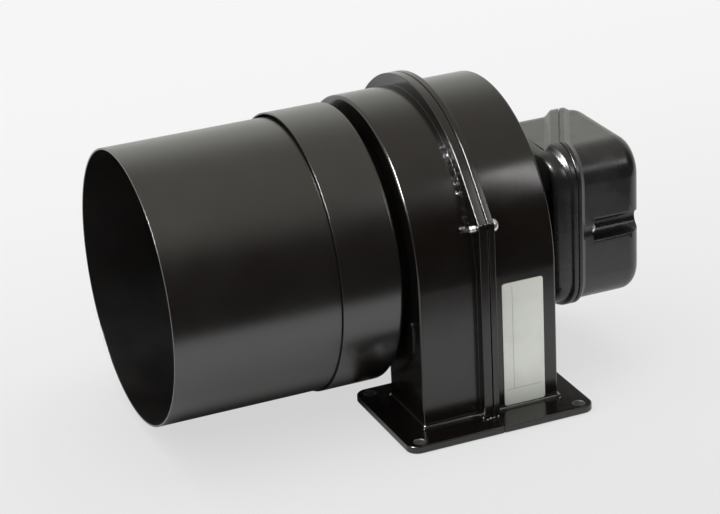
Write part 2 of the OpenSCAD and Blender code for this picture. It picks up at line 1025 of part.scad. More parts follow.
// Bosses and holes along the two cover screws
module along_cover_screws(near_from, near_to, far_from, far_to, r) {
    translate([near_from, near_screw_y, axis_h])
        rotate([0, 90, 0])
            cylinder(r = r, h = near_to - near_from);
    translate([far_from, far_screw_y, axis_h])
        rotate([0, 90, 0])
            cylinder(r = r, h = far_to - far_from);
}

near_seat = rear_depth + part_near + seat_near;
far_seat = rear_depth + part_far + seat_far;

module box_base() {
    color(moulding)
        difference() {
            union() {
                intersection() {
                    box_block(box_w - 2 * base_step, box_h - 2 * base_step, box_r - base_step,
                        box_l, box_edge);
                    parting_zone(-box_l * 2, 0);
                }
                intersection() {
                    box_outer(bead_h);
                    parting_zone(-base_bead, 0);
                }
            }
            difference() {
                box_cavity();
                along_cover_screws(rear_depth, box_end, rear_depth, box_end, boss_r);
            }
            along_cover_screws(box_floor + boss_floor, box_end, box_floor + boss_floor, box_end,
                screw_d / 2);
            box_screw_places(rear_depth - cut)
                cylinder(d = small_d + 2 * screw_gap, h = box_wall + 2 * cut);
            on_axis(rear_depth - cut)
                translate([0, -lead_r, 0])
                    cylinder(r = lead_hole_r, h = box_wall + 2 * cut);
            gland_place(-box_w / 4)
                cylinder(d = gland_d + 2 * slip, h = box_w / 2);
            clip_places(pilot_skin - box_wall)
                cylinder(d = small_d, h = box_wall);
        }
}

// Corners of the box floor, where it is screwed to the scroll
module box_screw_places(x) {
    for (y = [-1, 1])
        for (z = [-1, 1])
            translate([x, box_y + y * box_screw_w / 2, axis_h + z * box_screw_h / 2])
                rotate([90, 0, 90])
                    children();
}

module box_screws() {
    color(zinc)
        box_screw_places(box_floor)
            pan_screw(box_wall + wall, small_d);
}

module box_gasket() {
    color([0.04, 0.04, 0.04])
        difference() {
            intersection() {
                box_outer(-gasket_in);
                parting_zone(0, gasket_t);
            }
            difference() {
                box_cavity();
                along_cover_screws(rear_depth, box_end, rear_depth, box_end, boss_r);
            }
            along_cover_screws(rear_depth, box_end, rear_depth, box_end, screw_d / 2 + screw_gap);
        }
}

// U-shaped screw channel in a side face, side -1 near and 1 far
module channel(side, from, to, grow) {
    r = channel_w / 2 + grow;
    face = side < 0 ? box_near : box_far;
    deep = channel_d - channel_w / 2;
    along_x(from)
        translate([face - side * deep, axis_h, 0])
            linear_extrude(to - from) {
                circle(r);
                translate([side < 0 ? -deep - cut : 0, -r])
                    square([deep + cut, 2 * r]);
            }
}

module box_cover() {
    color(moulding)
        difference() {
            union() {
                intersection() {
                    box_outer(0);
                    parting_zone(gasket_t, box_l * 2);
                }
                intersection() {
                    box_outer(cover_bead_h);
                    parting_zone(gasket_t, gasket_t + cover_bead);
                }
            }
            difference() {
                box_hollow(rear_depth, box_end - cover_end_t, box_wall);
                channel(-1, rear_depth, box_end, box_wall);
                channel(1, rear_depth, box_end, box_wall);
            }
            channel(-1, near_seat, box_end + cut, 0);
            channel(1, far_seat, box_end + cut, 0);
            along_cover_screws(rear_depth, box_end, rear_depth, box_end, screw_d / 2 + screw_gap);
        }
}

module cover_screws() {
    color(zinc) {
        along_x(near_seat)
            translate([near_screw_y, axis_h, 0])
                pan_screw(seat_near + cover_screw_grip);
        along_x(far_seat)
            translate([far_screw_y, axis_h, 0])
                pan_screw(seat_far + cover_screw_grip);
    }
}

module terminal_block() {
    color([0.86, 0.85, 0.8])
        difference() {
            translate([box_floor, block_y - block_l / 2, block_z - block_h / 2])
                cube([block_d, block_l, block_h]);
            on_axis(box_floor - cut)
                translate([0, -lead_r, 0])
                    cylinder(r = grommet_lip_r + slip, h = grommet_lip + slip + cut);
            lead_rods(box_floor - cut, lead_end);
            terminal_places(block_face - terminal_sink)
                cylinder(d = terminal_seat_d, h = terminal_sink + cut);
            terminal_places(block_face - terminal_sink - terminal_l)
                cylinder(d = terminal_hole_d, h = terminal_l + cut);
        }
}

module terminal_places(x) {
    pitch = block_l / (terminal_n + 0.5);
    for (i = [0 : terminal_n - 1])
        along_x(x)
            translate([block_y + (i - (terminal_n - 1) / 2) * pitch, block_z + block_h / 4, 0])
                children();
}

module terminal_screws() {
    color([0.8, 0.7, 0.4])
        terminal_places(block_face - terminal_sink)
            pan_screw(terminal_l, terminal_d);
}

module run_capacitor() {
    color([0.85, 0.86, 0.86])
        translate([cap_x, box_y - cap_l / 2, cap_z])
            rotate([-90, 0, 0]) {
                cylinder(d = cap_d, h = cap_l);
                translate([0, 0, cap_l])
                    cylinder(d = cap_d - 2 * cap_step, h = cap_step);
            }
}

module clip_places(x) {
    for (z = [-1, 1])
        along_x(box_floor + x)
            translate([box_y, cap_z + z * (cap_d / 2 + clip_t + clip_foot / 2)])
                children();
}

// Spring-steel saddle over the capacitor
module capacitor_clip() {
    r = cap_d / 2 + clip_t;
    color([0.7, 0.71, 0.73])
        translate([cap_x, box_y - clip_w / 2, cap_z])
            difference() {
                union() {
                    rotate([-90, 0, 0])
                        cylinder(r = r, h = clip_w);
                    translate([-r, 0, -r])
                        cube([r, clip_w, 2 * r]);
                    translate([-r, 0, -r - clip_foot])
                        cube([clip_t, clip_w, 2 * r + 2 * clip_foot]);
                }
                translate([0, -cut, 0])
                    rotate([-90, 0, 0])
                        cylinder(d = cap_d, h = clip_w + 2 * cut);
                translate([clip_t - r, -cut, -cap_d / 2])
                    cube([r - clip_t, clip_w + 2 * cut, cap_d]);
                for (z = [-1, 1])
                    translate([-r - cut, clip_w / 2, z * (r + clip_foot / 2)])
                        rotate([0, 90, 0])
                            cylinder(d = small_d + 2 * screw_gap, h = clip_t + 2 * cut);
            }
}

module clip_screws() {
    color(zinc)
        clip_places(clip_t)
            pan_screw(clip_t + box_wall - pilot_skin - slip, small_d);
}

// Places its children with their z along +Y, from the given distance past the base's far wall
module gland_place(out) {
    translate([rear_depth + gland_x, base_far + out, axis_h - gland_drop])
        rotate([-90, 0, 0])
            children();
}

module gland_body() {
    thread = box_wall + locknut_l + gland_tail;
    color([0.1, 0.1, 0.1])
        difference() {
            union() {
                gland_place(0)
                    cylinder(d = gland_hex, h = gland_collar_l, $fn = 6);
                gland_place(-thread)
                    cylinder(d = gland_d, h = thread + gland_collar_l + gland_neck_l);
            }
            gland_place(-thread - cut)
                cylinder(d = cable_d, h = thread + 2 * cut);
            gland_place(0)
                cylinder(d = gland_d - 2 * gland_wall, h = gland_collar_l + gland_neck_l + cut);
        }
}

module gland_seal() {
    color([0.25, 0.25, 0.25])
        gland_place(0)
            ring(gland_d / 2 - gland_wall, cable_d / 2, gland_collar_l + gland_neck_l);
}

module gland_cap() {
    color([0.1, 0.1, 0.1])
        gland_place(gland_collar_l)
            difference() {
                union() {
                    cylinder(d = cap_hex, h = gland_cap_hex_l, $fn = 6);
                    cylinder(d1 = cap_cone_d, d2 = gland_nose_d, h = gland_cap_l);
                }
                translate([0, 0, -cut])
                    cylinder(d = gland_d + 2 * slip, h = gland_neck_l + cut);
                cylinder(d = gland_mouth_d, h = gland_cap_l + cut);
            }
}

module gland_locknut() {
    color([0.1, 0.1, 0.1])
        gland_place(-box_wall - locknut_l)
            difference() {
                cylinder(d = gland_hex, h = locknut_l, $fn = 6);
                translate([0, 0, -cut])
                    cylinder(d = gland_d + 2 * slip, h = locknut_l + 2 * cut);
            }
}

inlet_tube();
inlet_collar();
standoff_ring();
inlet_nozzle();
nozzle_screws();
front_shell();
rear_shell();
seam_screws();
rating_plate();
motor_flange();
motor_screws();
stator_core();
stator_winding();
motor_leads();
lead_grommet();
bearing_outer_rings();
shaft();
shaft_circlip();
bearing_inner_rings();
bearing_balls();
rotor_can();
rotor_core();
rotor_end_rings();
wheel_back_plate();
wheel_blades();
wheel_front_ring();
wheel_rivets();
box_base();
box_screws();
box_gasket();
box_cover();
cover_screws();
terminal_block();
terminal_screws();
run_capacitor();
capacitor_clip();
clip_screws();
gland_body();
gland_seal();
gland_cap();
gland_locknut();
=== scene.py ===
"""Looks of the combustion fan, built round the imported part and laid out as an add-on."""

import json
import math

import bmesh
import bpy
from bpy.props import FloatProperty, FloatVectorProperty, PointerProperty
from mathutils import Matrix, Vector


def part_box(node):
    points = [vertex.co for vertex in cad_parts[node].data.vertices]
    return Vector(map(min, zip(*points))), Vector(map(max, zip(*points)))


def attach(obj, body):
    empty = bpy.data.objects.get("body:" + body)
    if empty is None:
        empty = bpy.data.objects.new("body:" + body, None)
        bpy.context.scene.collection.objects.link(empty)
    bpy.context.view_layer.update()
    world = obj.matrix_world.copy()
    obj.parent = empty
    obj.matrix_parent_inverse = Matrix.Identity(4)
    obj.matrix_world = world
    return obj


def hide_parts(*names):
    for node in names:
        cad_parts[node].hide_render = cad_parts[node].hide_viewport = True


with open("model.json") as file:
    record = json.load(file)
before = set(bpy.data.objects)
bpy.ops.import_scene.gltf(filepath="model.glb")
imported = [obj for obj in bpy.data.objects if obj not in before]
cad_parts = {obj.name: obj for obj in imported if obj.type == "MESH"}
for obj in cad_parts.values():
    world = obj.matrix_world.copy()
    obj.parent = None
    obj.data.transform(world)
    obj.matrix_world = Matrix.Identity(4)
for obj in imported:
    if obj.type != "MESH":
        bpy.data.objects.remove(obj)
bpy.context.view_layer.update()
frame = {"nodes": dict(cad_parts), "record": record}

bl_info = {
    "name": "Combustion fan",
    "version": (1, 0, 0),
    "blender": (4, 5, 0),
    "location": "3D View > Sidebar > Fan",
    "description": "Builds the visible pieces of a combustion air fan round its packed part",
    "category": "Object",
}

MM = 0.001
ALONG = Vector((1, 0, 0))
ACROSS = Vector((0, 1, 0))
UP = Vector((0, 0, 1))

# Edges sharper than SHARP are rounded, and those flatter than SMOOTH are shaded smooth
SHARP, SMOOTH = math.radians(50), math.radians(38)

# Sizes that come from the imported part
RING_LOW, RING_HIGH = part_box("wheel_front_ring")
AXIS_Y, AXIS_Z = ((RING_LOW + RING_HIGH) / 2).yz
BASE_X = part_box("box_base")[0].x
COVER_LOW, COVER_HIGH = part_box("box_cover")

# The cover's side faces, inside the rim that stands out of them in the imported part
RIM = 1 * MM
NEAR_FACE, FAR_FACE = COVER_LOW.y + RIM, COVER_HIGH.y - RIM
UNDER_FACE, TOP_FACE = COVER_LOW.z + RIM, COVER_HIGH.z - RIM


def span(node_name):
    """Both ends along the fan axis, and the radius, of a round node."""
    low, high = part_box(node_name)
    return low.x, high.x, (high.y - low.y) / 2


def size(label, text, millimetres):
    return FloatProperty(name=label, description=text, default=millimetres * MM, min=0.0,
                         unit="LENGTH", precision=5)


def tint(label, text, default):
    return FloatVectorProperty(name=label, description=text, default=default, min=0.0, max=1.0,
                               size=3, subtype="COLOR")


def share(label, text, default):
    return FloatProperty(name=label, description=text, default=default, min=0.0, max=1.0,
                         subtype="FACTOR")


def level(label, text, default):
    return FloatProperty(name=label, description=text, default=default, min=0.0)


class FanHousingSizes(bpy.types.PropertyGroup):
    near_r: size("Near radius", "Scroll radius where it runs into the neck", 89.5)
    spiral_step: size("Spiral step", "Radius lost in each quarter turn", 4.3)
    front_depth: size("Front depth", "Depth of the inlet-side half", 40.5)
    rear_depth: size("Rear depth", "Depth of the motor-side half", 44)
    wall: size("Wall", "Wall of the casting", 2.5)
    edge_r: size("Edge radius", "Rounding of the outer edges", 1.7)
    root_r: size("Root radius", "Fillet between wall and lip", 0.2)
    neck_d: size("Neck depth", "Outer depth of the outlet neck", 47)
    lip_h: size("Lip height", "Height of the seam lip on the scroll", 7)
    neck_lip: size("Neck lip", "Height of the seam lip on the neck", 6)
    front_lip: size("Front lip", "Thickness of the inlet-side lip", 5.5)
    rear_lip: size("Rear lip", "Thickness of the motor-side lip", 4)
    lip_r: size("Lip rounding", "Rounding of the lip edges", 0.5)
    joint_gap: size("Joint gap", "Open joint between the two lips", 0.5)
    joint_d: size("Joint depth", "Depth of the open joint", 2)
    lug_r: size("Lug radius", "Radius of the screw lugs", 5.5)
    lug_rise: size("Lug rise", "Near lug above the fan axis", 31.5)
    flange_t: size("Flange", "Thickness of the base flange", 4.5)
    flange_r: size("Flange corner", "Corner radius of the flange", 7)
    flange_edge: size("Flange edge", "Rounding of the flange edges", 1.2)
    hole_d: size("Bolt hole", "Diameter of the bolt holes", 6.5)
    hole_x: size("Bolt pitch along", "Bolt pitch along the fan axis", 100)
    hole_y: size("Bolt pitch across", "Bolt pitch across the fan axis", 70)
    foot_r: size("Foot fillet", "Fillet between neck and flange", 2.2)


class FanInletSizes(bpy.types.PropertyGroup):
    sheet: size("Sheet", "Sheet of tube and collar", 1)
    burr: size("Edge break", "Rounding of the cut sheet edges", 0.18)
    collar_r: size("Collar bend", "Bend at the closed end of the collar", 2.6)
    bell_r: size("Bell radius", "Bend of the nozzle mouth", 7)
    nozzle_t: size("Nozzle sheet", "Sheet of the nozzle", 1.2)


class FanBoxSizes(bpy.types.PropertyGroup):
    corner_r: size("Corner", "Radius of the long edges", 20)
    end_r: size("End edge", "Radius of the end face's edges", 9)
    wall: size("Wall", "Wall of the moulding", 2.5)
    step: size("Step", "Step from the cover down to the base", 1.2)
    part_near: size("Parting, near", "Parting line from the scroll on the near side", 30)
    part_far: size("Parting, far", "Parting line from the scroll on the far side", 64)
    kink: size("Kink", "Where the parting line turns, from the near side", 20.5)
    channel_w: size("Channel width", "Width of the screw channels", 12.6)
    channel_d: size("Channel depth", "Depth of the screw channels", 10)
    channel_lip: size("Channel lip", "Rounding of the channel's edges", 1.6)
    relief_w: size("Relief width", "Width of the shallow relief beside a screw", 9.5)
    relief_d: size("Relief depth", "Depth of the shallow relief beside a screw", 1.7)
    bead_top: size("Bead top", "Level top of the bead on the base", 2.2)
    bead_w: size("Bead width", "Width over which the base's bead falls away", 2.4)
    top_spread: level("Top spread", "How much wider bead and rim run over the top", 1.2)
    bead_out: size("Bead height", "How far the base's bead stands out", 2.2)
    joint: size("Joint", "Open groove between base and cover", 0.45)
    joint_d: size("Joint depth", "Depth of that groove", 1)
    gasket: size("Gasket", "Thickness of the gasket the cover sits on", 1)
    rim_top: size("Rim top", "Level top of the cover's rim", 2.4)
    rim_out: size("Rim height", "How far the cover's rim stands out", 2.2)
    flank: level("Rim flank", "Slope of the rim's flank in degrees", 38.0)
    edge: size("Edge", "Small roundings of the moulding", 0.6)
    ledge: size("Ledge", "How far the base stands off the scroll round its foot", 13.5)
    ledge_near: size("Ledge, near", "How much further it stands off on the near side", 3.6)
    ledge_r: size("Ledge rounding", "Rounding of the edge that faces the scroll", 4)
    ledge_w: size("Ledge sweep", "Width of that rounding along the fan axis", 7.4)
    near_out: size("Near side", "How far the base's near side stands out of its other sides", 1.8)
    foot_y: share("Foot width", "Width of the base's foot as a share of the base", 0.905)
    foot_z: share("Foot height", "Height of the base's foot as a share of the base", 0.905)
    foot_square: size("Foot corner", "How much squarer the foot's corners are", 17)


class FanScrewSizes(bpy.types.PropertyGroup):
    shank_d: size("Shank", "Shank of the housing screws", 4)
    head_d: size("Head", "Head of the housing screws", 7.6)
    head_h: size("Head height", "Head height of the housing screws", 2.8)
    pitch: size("Pitch", "Thread pitch", 0.9)
    end: size("Screw end", "Thread that shows in front of the seam", 7.6)
    tip: size("Screw tip", "Dark pilot tip of the seam screws", 3.6)


class FanFinishes(bpy.types.PropertyGroup):
    paint: tint("Paint", "Black paint of the castings and sheet", (0.0042, 0.0029, 0.0023))
    dust: tint("Dust", "Dust on the paint", (0.20, 0.19, 0.17))
    moulding: tint("Moulding", "Black moulded box", (0.0090, 0.0086, 0.0088))
    rubber: tint("Rubber", "Rubber parts", (0.016, 0.016, 0.016))
    zinc: tint("Zinc", "Plated screws", (0.94, 0.945, 0.95))
    sheet_metal: tint("Galvanised sheet", "Wheel and nozzle", (0.56, 0.57, 0.58))
    plate: tint("Rating plate", "Face of the rating plate", (0.70, 0.72, 0.66))
    ink: tint("Rules", "Ruled lines on the plate", (0.03, 0.03, 0.03))
    sheet_gloss: share("Sheet gloss", "Roughness of the painted sheet", 0.24)
    cast_gloss: share("Casting gloss", "Roughness of the painted castings", 0.19)


class FanStageLevels(bpy.types.PropertyGroup):
    floor: tint("Floor", "Floor and backdrop", (0.86, 0.86, 0.86))
    top: level("Top light", "Power of the overhead lamp in watts", 11.0)
    side: level("Side light", "Power of the small lamp near the motor side in watts", 0.14)
    cover: level("Cover light", "Power of the small lamp near the terminal box in watts", 0.045)
    strip: level("Strip light", "Power of the strip lamp on the inlet side in watts", 107.0)
    fill: level("Fill", "Even light from all round", 0.85)


# Wires and solids

def verts_in(geom):
    return [g for g in geom if isinstance(g, bmesh.types.BMVert)]


def trace(bm, axis, start, moves, closed=True):
    """Draws a wire. A move is a place to run straight to, or an arc's (centre, degrees, steps)."""
    vert = first = bm.verts.new(start)
    for move in moves:
        if isinstance(move[0], (int, float)):
            vert = bmesh.ops.extrude_vert_indiv(bm, verts=[vert])["verts"][0]
            vert.co = move
        else:
            centre, degrees, steps = move
            made = bmesh.ops.spin(bm, geom=[vert], cent=centre, axis=axis,
                                  angle=math.radians(degrees), steps=steps, use_duplicate=False)
            vert = verts_in(made["geom_last"])[0]
    if closed:
        bm.edges.new((vert, first))


def ring(bm, places):
    """Closed wire through a few places. Returns its vertices and edges."""
    verts = [bm.verts.new(p) for p in places]
    return verts, [bm.edges.new(pair) for pair in zip(verts, verts[1:] + verts[:1])]


def bevel(bm, geom, affect, radius, segments):
    bmesh.ops.bevel(bm, geom=geom, offset=radius, offset_type="OFFSET", segments=segments,
                    profile=0.5, affect=affect, material=-1, clamp_overlap=True)


def round_corner(bm, vert, radius, segments=4):
    bevel(bm, [vert], "VERTICES", radius, segments)


def round_edges(bm, radius, segments=3):
    sharp = [e for e in bm.edges if e.is_manifold and e.calc_face_angle() > SHARP]
    bevel(bm, sharp, "EDGES", radius, segments)


def spin_round(bm, axis, steps):
    bmesh.ops.spin(bm, geom=bm.verts[:] + bm.edges[:], cent=(0, 0, 0), axis=axis,
                   angle=2 * math.pi, steps=steps, use_merge=True, use_duplicate=False)


def turned(corners, place, steps=96):
    """Spins a closed half section of (along, radius, rounding) corners about place's x axis."""
    bm = bmesh.new()
    verts, _ = ring(bm, [(x, 0, r) for x, r, _ in corners])
    for vert, (_, _, rounding) in zip(verts, corners):
        if rounding:
            round_corner(bm, vert, rounding)
    spin_round(bm, ALONG, steps)
    bmesh.ops.transform(bm, matrix=place, verts=bm.verts)
    return bm


def on_axis(x=0.0):
    return Matrix.Translation((x, AXIS_Y, AXIS_Z))


def fill(bm, edges, normal):
    made = bmesh.ops.triangle_fill(bm, use_beauty=True, use_dissolve=False, edges=edges,
                                   normal=normal)
    return [g for g in made["geom"] if isinstance(g, bmesh.types.BMFace)]


def close_holes(bm):
    bmesh.ops.holes_fill(bm, edges=[e for e in bm.edges if e.is_boundary], sides=0)


def slab(bm, axis, depth, edge_r=0.0, segments=3):
    """Fills the wires in bm and thickens them along an axis, with rounded edges."""
    made = bmesh.ops.extrude_face_region(bm, geom=fill(bm, bm.edges[:], axis))["geom"]
    bmesh.ops.translate(bm, vec=axis * depth, verts=verts_in(made))
    if edge_r:
        merged(bm)
        round_edges(bm, edge_r, segments)


def chain_ends(edges):
    """The two end vertices of an open run of edges."""
    verts = dict.fromkeys(v for e in edges for v in e.verts)
    return [v for v in verts if sum(e in edges for e in v.link_edges) == 1]


def drawn_out(bm, edges):
    """Extrudes a run of edges in place. Returns the new run's vertices and edges."""
    made = bmesh.ops.extrude_edge_only(bm, edges=edges)["geom"]
    verts = verts_in(made)
    inside = set(verts)
    return verts, [g for g in made if isinstance(g, bmesh.types.BMEdge)
                   and inside.issuperset(g.verts)]


def mitres(points, axis, closed, side):
    """Outward mitre at each point of a wire."""
    count = len(points)
    found = []
    for i, p in enumerate(points):
        normals = []
        if closed or i:
            normals.append((p - points[i - 1]).normalized().cross(axis) * side)
        if closed or i + 1 < count:
            normals.append((points[(i + 1) % count] - p).normalized().cross(axis) * side)
        if len(normals) == 1:
            found.append(normals[0])
        else:
            found.append((normals[0] + normals[1]) / (1 + normals[0].dot(normals[1])))
    return found


def sweep(bm, axis, section, closed=False, side=1):
    """Draws the wire in bm out through the (rise, out) stations of a section.

    A rise or out may be a function of the point, and a third entry may be a function that moves
    the station's points. Returns the first and the last loop's edges."""
    bm.verts.ensure_lookup_table()
    points = [v.co.copy() for v in bm.verts]
    normals = mitres(points, axis, closed, side)
    index = bm.verts.layers.int.new("index")
    for i, v in enumerate(bm.verts):
        v[index] = i

    def station(v, rise, out):
        i = v[index]
        flat = points[i] + normals[i] * (out(points[i]) if callable(out) else out)
        return flat + axis * (rise(flat) if callable(rise) else rise)

    first = loop = bm.edges[:]
    stations = [(bm.verts[:], section[0])]
    for step in section[1:]:
        verts, loop = drawn_out(bm, loop)
        stations.append((verts, step))
    for verts, (rise, out, *reshape) in stations:
        for v in verts:
            v.co = station(v, rise, out)
            if reshape:
                v.co = reshape[0](v.co)
    return first, loop


def quarter(centre, radius, start, turn, steps):
    """(rise, out) points of an arc in a section."""
    angles = [math.radians(start + turn * i / steps) for i in range(steps + 1)]
    return [(centre[0] + radius * math.cos(a), centre[1] + radius * math.sin(a)) for a in angles]


def slope(start, high, low, radius, degrees):
    """(rise, out) points of a rounded shoulder and the straight flank below it."""
    points = quarter((start - radius, high - radius), radius, 90, -degrees, 5)
    rise, out = points[-1]
    return points + [(rise + (out - low) / math.tan(math.radians(degrees)), low)]


def merged(bm, near=1e-6):
    bmesh.ops.remove_doubles(bm, verts=bm.verts, dist=near)
    bmesh.ops.recalc_face_normals(bm, faces=bm.faces)


def meshed(bm, name):
    mesh = bpy.data.meshes.new(name)
    bm.to_mesh(mesh)
    bm.free()
    return mesh


def placed(name, data):
    obj = bpy.data.objects.new(name, data)
    bpy.context.scene.collection.objects.link(obj)
    return obj


def join(bm, part):
    """Adds another bmesh to bm and frees it."""
    merged(part)
    mesh = meshed(part, "part")
    bm.from_mesh(mesh)
    bpy.data.meshes.remove(mesh)


def cut(bm, tool):
    """What the solid in tool leaves of the solid in bm. Frees both."""
    made = []
    for part in (bm, tool):
        merged(part)
        made.append(placed("solid", meshed(part, "solid")))
    cutter = made[0].modifiers.new("cut", "BOOLEAN")
    cutter.object, cutter.operation, cutter.solver = made[1], "DIFFERENCE", "EXACT"
    result = bmesh.new()
    result.from_object(made[0], bpy.context.evaluated_depsgraph_get())
    for obj in made:
        mesh = obj.data
        bpy.data.objects.remove(obj)
        bpy.data.meshes.remove(mesh)
    return result


def piece(bm, name, replaced, *finishes, body="housing"):
    """Makes bm a piece that stands for a node, with its finishes as its materials, the first on
    every face that picks no other.
    """
    merged(bm)
    mesh = meshed(bm, name)
    mesh.shade_smooth()
    mesh.set_sharp_from_angle(angle=SMOOTH)
    obj = placed(name, mesh)
    for finish in finishes:
        mesh.materials.append(FINISHES[finish])
    obj.modifiers.new("even_normals", "WEIGHTED_NORMAL").keep_sharp = True
    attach(obj, body)
    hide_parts(replaced)


# Finishes

def plug(tree, value, inlet):
    """Links a socket to an inlet, or sets the inlet to a plain value."""
    if isinstance(value, bpy.types.NodeSocket):
        tree.links.new(value, inlet)
    else:
        inlet.default_value = value


def node(tree, kind, values=None, **settings):
    made = tree.nodes.new(kind)
    for key, value in settings.items():
        setattr(made, key, value)
    for key, value in (values or {}).items():
        plug(tree, value, made.inputs[key])
    return made


def maths(tree, operation, *values):
    return node(tree, "ShaderNodeMath", dict(enumerate(values)), operation=operation).outputs[0]


def ramp(tree, value, low, high, to_low=0.0, to_high=1.0):
    values = {"Value": value, "From Min": low, "From Max": high, "To Min": to_low,
              "To Max": to_high}
    made = node(tree, "ShaderNodeMapRange", values, interpolation_type="SMOOTHSTEP")
    return made.outputs["Result"]


def noise(tree, vector, scale, detail=2.0, rough=0.5):
    values = {"Vector": vector, "Scale": scale, "Detail": detail, "Roughness": rough}
    return node(tree, "ShaderNodeTexNoise", values).outputs["Fac"]


def cells(tree, vector, scale):
    """Random cells: the distance from a cell's centre, and two random numbers of the cell."""
    made = node(tree, "ShaderNodeTexVoronoi", {"Vector": vector, "Scale": scale}, feature="F1")
    drawn = node(tree, "ShaderNodeSeparateColor", {"Color": made.outputs["Color"]}).outputs
    return made.outputs["Distance"], drawn["Red"], drawn["Green"]


def mixed(tree, fac, a, b):
    made = node(tree, "ShaderNodeMix", data_type="RGBA")
    for key, value in (("Factor", fac), ("A", a), ("B", b)):
        inlet = next(i for i in made.inputs if i.name == key and i.enabled)
        plug(tree, (*value, 1.0) if isinstance(value, tuple) else value, inlet)
    return next(o for o in made.outputs if o.enabled)


def object_place(tree):
    return node(tree, "ShaderNodeTexCoord").outputs["Object"]


def axes(tree, vector):
    return node(tree, "ShaderNodeSeparateXYZ", {"Vector": vector}).outputs


def shaded(colour, by):
    return tuple(by * c for c in colour)


def effect(name, inputs, outputs):
    """A node group with its sources and its results."""
    group = bpy.data.node_groups.new(name, "ShaderNodeTree")
    new_socket = group.interface.new_socket
    for label, default in inputs.items():
        made = new_socket(name=label, in_out="INPUT", socket_type="NodeSocketFloat")
        made.default_value = default
    for label in outputs:
        new_socket(name=label, in_out="OUTPUT", socket_type="NodeSocketFloat")
    sources = group.nodes.new("NodeGroupInput").outputs
    return group, sources, group.nodes.new("NodeGroupOutput").inputs


def dust_effect():
    """Sparse specks of dust and a faint film, as two masks."""
    group, source, result = effect("dust", {"Scale": 300.0, "Amount": 0.3, "Film": 0.1},
                                   ("Specks", "Film"))
    place = object_place(group)
    distance, draw, extent = cells(group, place, source["Scale"])
    chosen = maths(group, "LESS_THAN", draw, source["Amount"])
    near = maths(group, "LESS_THAN", distance, maths(group, "MULTIPLY", extent, 0.06))
    plug(group, maths(group, "MULTIPLY", chosen, near), result["Specks"])
    cloud = ramp(group, noise(group, place, 22.0, 5.0, 0.6), 0.42, 0.75)
    plug(group, maths(group, "MULTIPLY", cloud, source["Film"]), result["Film"])
    return group


def peel_effect():
    """Orange peel of sprayed paint: a height and a small change in gloss."""
    group, source, result = effect("paint_peel", {"Scale": 700.0, "Gloss": 0.3},
                                   ("Height", "Roughness"))
    place = object_place(group)
    fine = noise(group, place, source["Scale"], 2.0, 0.45)
    broad = noise(group, place, 60.0, 3.0, 0.5)
    plug(group, maths(group, "MULTIPLY_ADD", broad, 0.35, fine), result["Height"])
    spread = ramp(group, broad, 0.3, 0.7, -0.010, 0.016)
    plug(group, maths(group, "ADD", spread, source["Gloss"]), result["Roughness"])
    return group


def grain_effect():
    """Fine grain of mouldings, rubber and cast metal."""
    group, source, result = effect("grain", {"Scale": 900.0, "Contrast": 1.0},
                                   ("Height", "Mottle"))
    place = object_place(group)
    fine = noise(group, place, source["Scale"], 3.0, 0.55)
    plug(group, maths(group, "MULTIPLY", fine, source["Contrast"]), result["Height"])
    plug(group, ramp(group, noise(group, place, 45.0, 4.0, 0.6), 0.35, 0.7), result["Mottle"])
    return group


def spangle_effect():
    """Zinc spangle and drawing marks on bare sheet."""
    group, source, result = effect("spangle", {"Scale": 160.0, "Streak": 0.5},
                                   ("Tone", "Height"))
    place = object_place(group)
    _, tone, _ = cells(group, place, source["Scale"])
    plug(group, tone, result["Tone"])
    stretch = node(group, "ShaderNodeMapping", {"Vector": place, "Scale": (40.0, 900.0, 900.0)})
    lines = noise(group, stretch.outputs["Vector"], 1.0, 2.0, 0.5)
    plug(group, maths(group, "MULTIPLY", lines, source["Streak"]), result["Height"])
    return group


class Finish:
    """A material with its Principled shader, and short ways to wire it."""

    def __init__(self, name, **constants):
        self.material = bpy.data.materials.new(name)
        self.material.use_nodes = True
        self.tree = self.material.node_tree
        self.shader = self.tree.nodes["Principled BSDF"]
        for key, value in constants.items():
            self.shader.inputs[key].default_value = value

    def group(self, tree, **values):
        return node(self.tree, "ShaderNodeGroup", values, node_tree=tree).outputs

    def feed(self, key, value):
        plug(self.tree, value, self.shader.inputs[key])

    def bump(self, height, strength, distance):
        values = {"Height": height, "Strength": strength, "Distance": distance}
        self.feed("Normal", node(self.tree, "ShaderNodeBump", values).outputs["Normal"])


def paint_finish(name, effects, colours, gloss, ior, peel):
    made = Finish(name, IOR=ior)
    tree = made.tree
    dust = made.group(effects["dust"], Scale=330.0, Amount=0.16, Film=0.05)
    skin = made.group(effects["peel"], Scale=520.0, Gloss=gloss)
    veil = maths(tree, "MAXIMUM", maths(tree, "MULTIPLY", dust["Specks"], 0.55),
                 maths(tree, "MULTIPLY", dust["Film"], 0.3))
    made.feed("Base Color", mixed(tree, veil, tuple(colours.paint), tuple(colours.dust)))
    made.feed("Roughness", maths(tree, "ADD", skin["Roughness"],
                                 maths(tree, "MULTIPLY", veil, 0.3)))
    made.bump(skin["Height"], peel, 0.12 * MM)
    return made.material


def grained_finish(name, effects, colour, second, gloss, scale, strength, metal=0.0, ior=1.5):
    made = Finish(name, IOR=ior, Metallic=metal)
    grain = made.group(effects["grain"], Scale=scale, Contrast=1.0)
    made.feed("Base Color", mixed(made.tree, grain["Mottle"], tuple(colour), second))
    made.feed("Roughness", ramp(made.tree, grain["Mottle"], 0.0, 1.0, gloss - 0.03, gloss + 0.05))
    made.bump(grain["Height"], strength, 0.08 * MM)
    return made.material


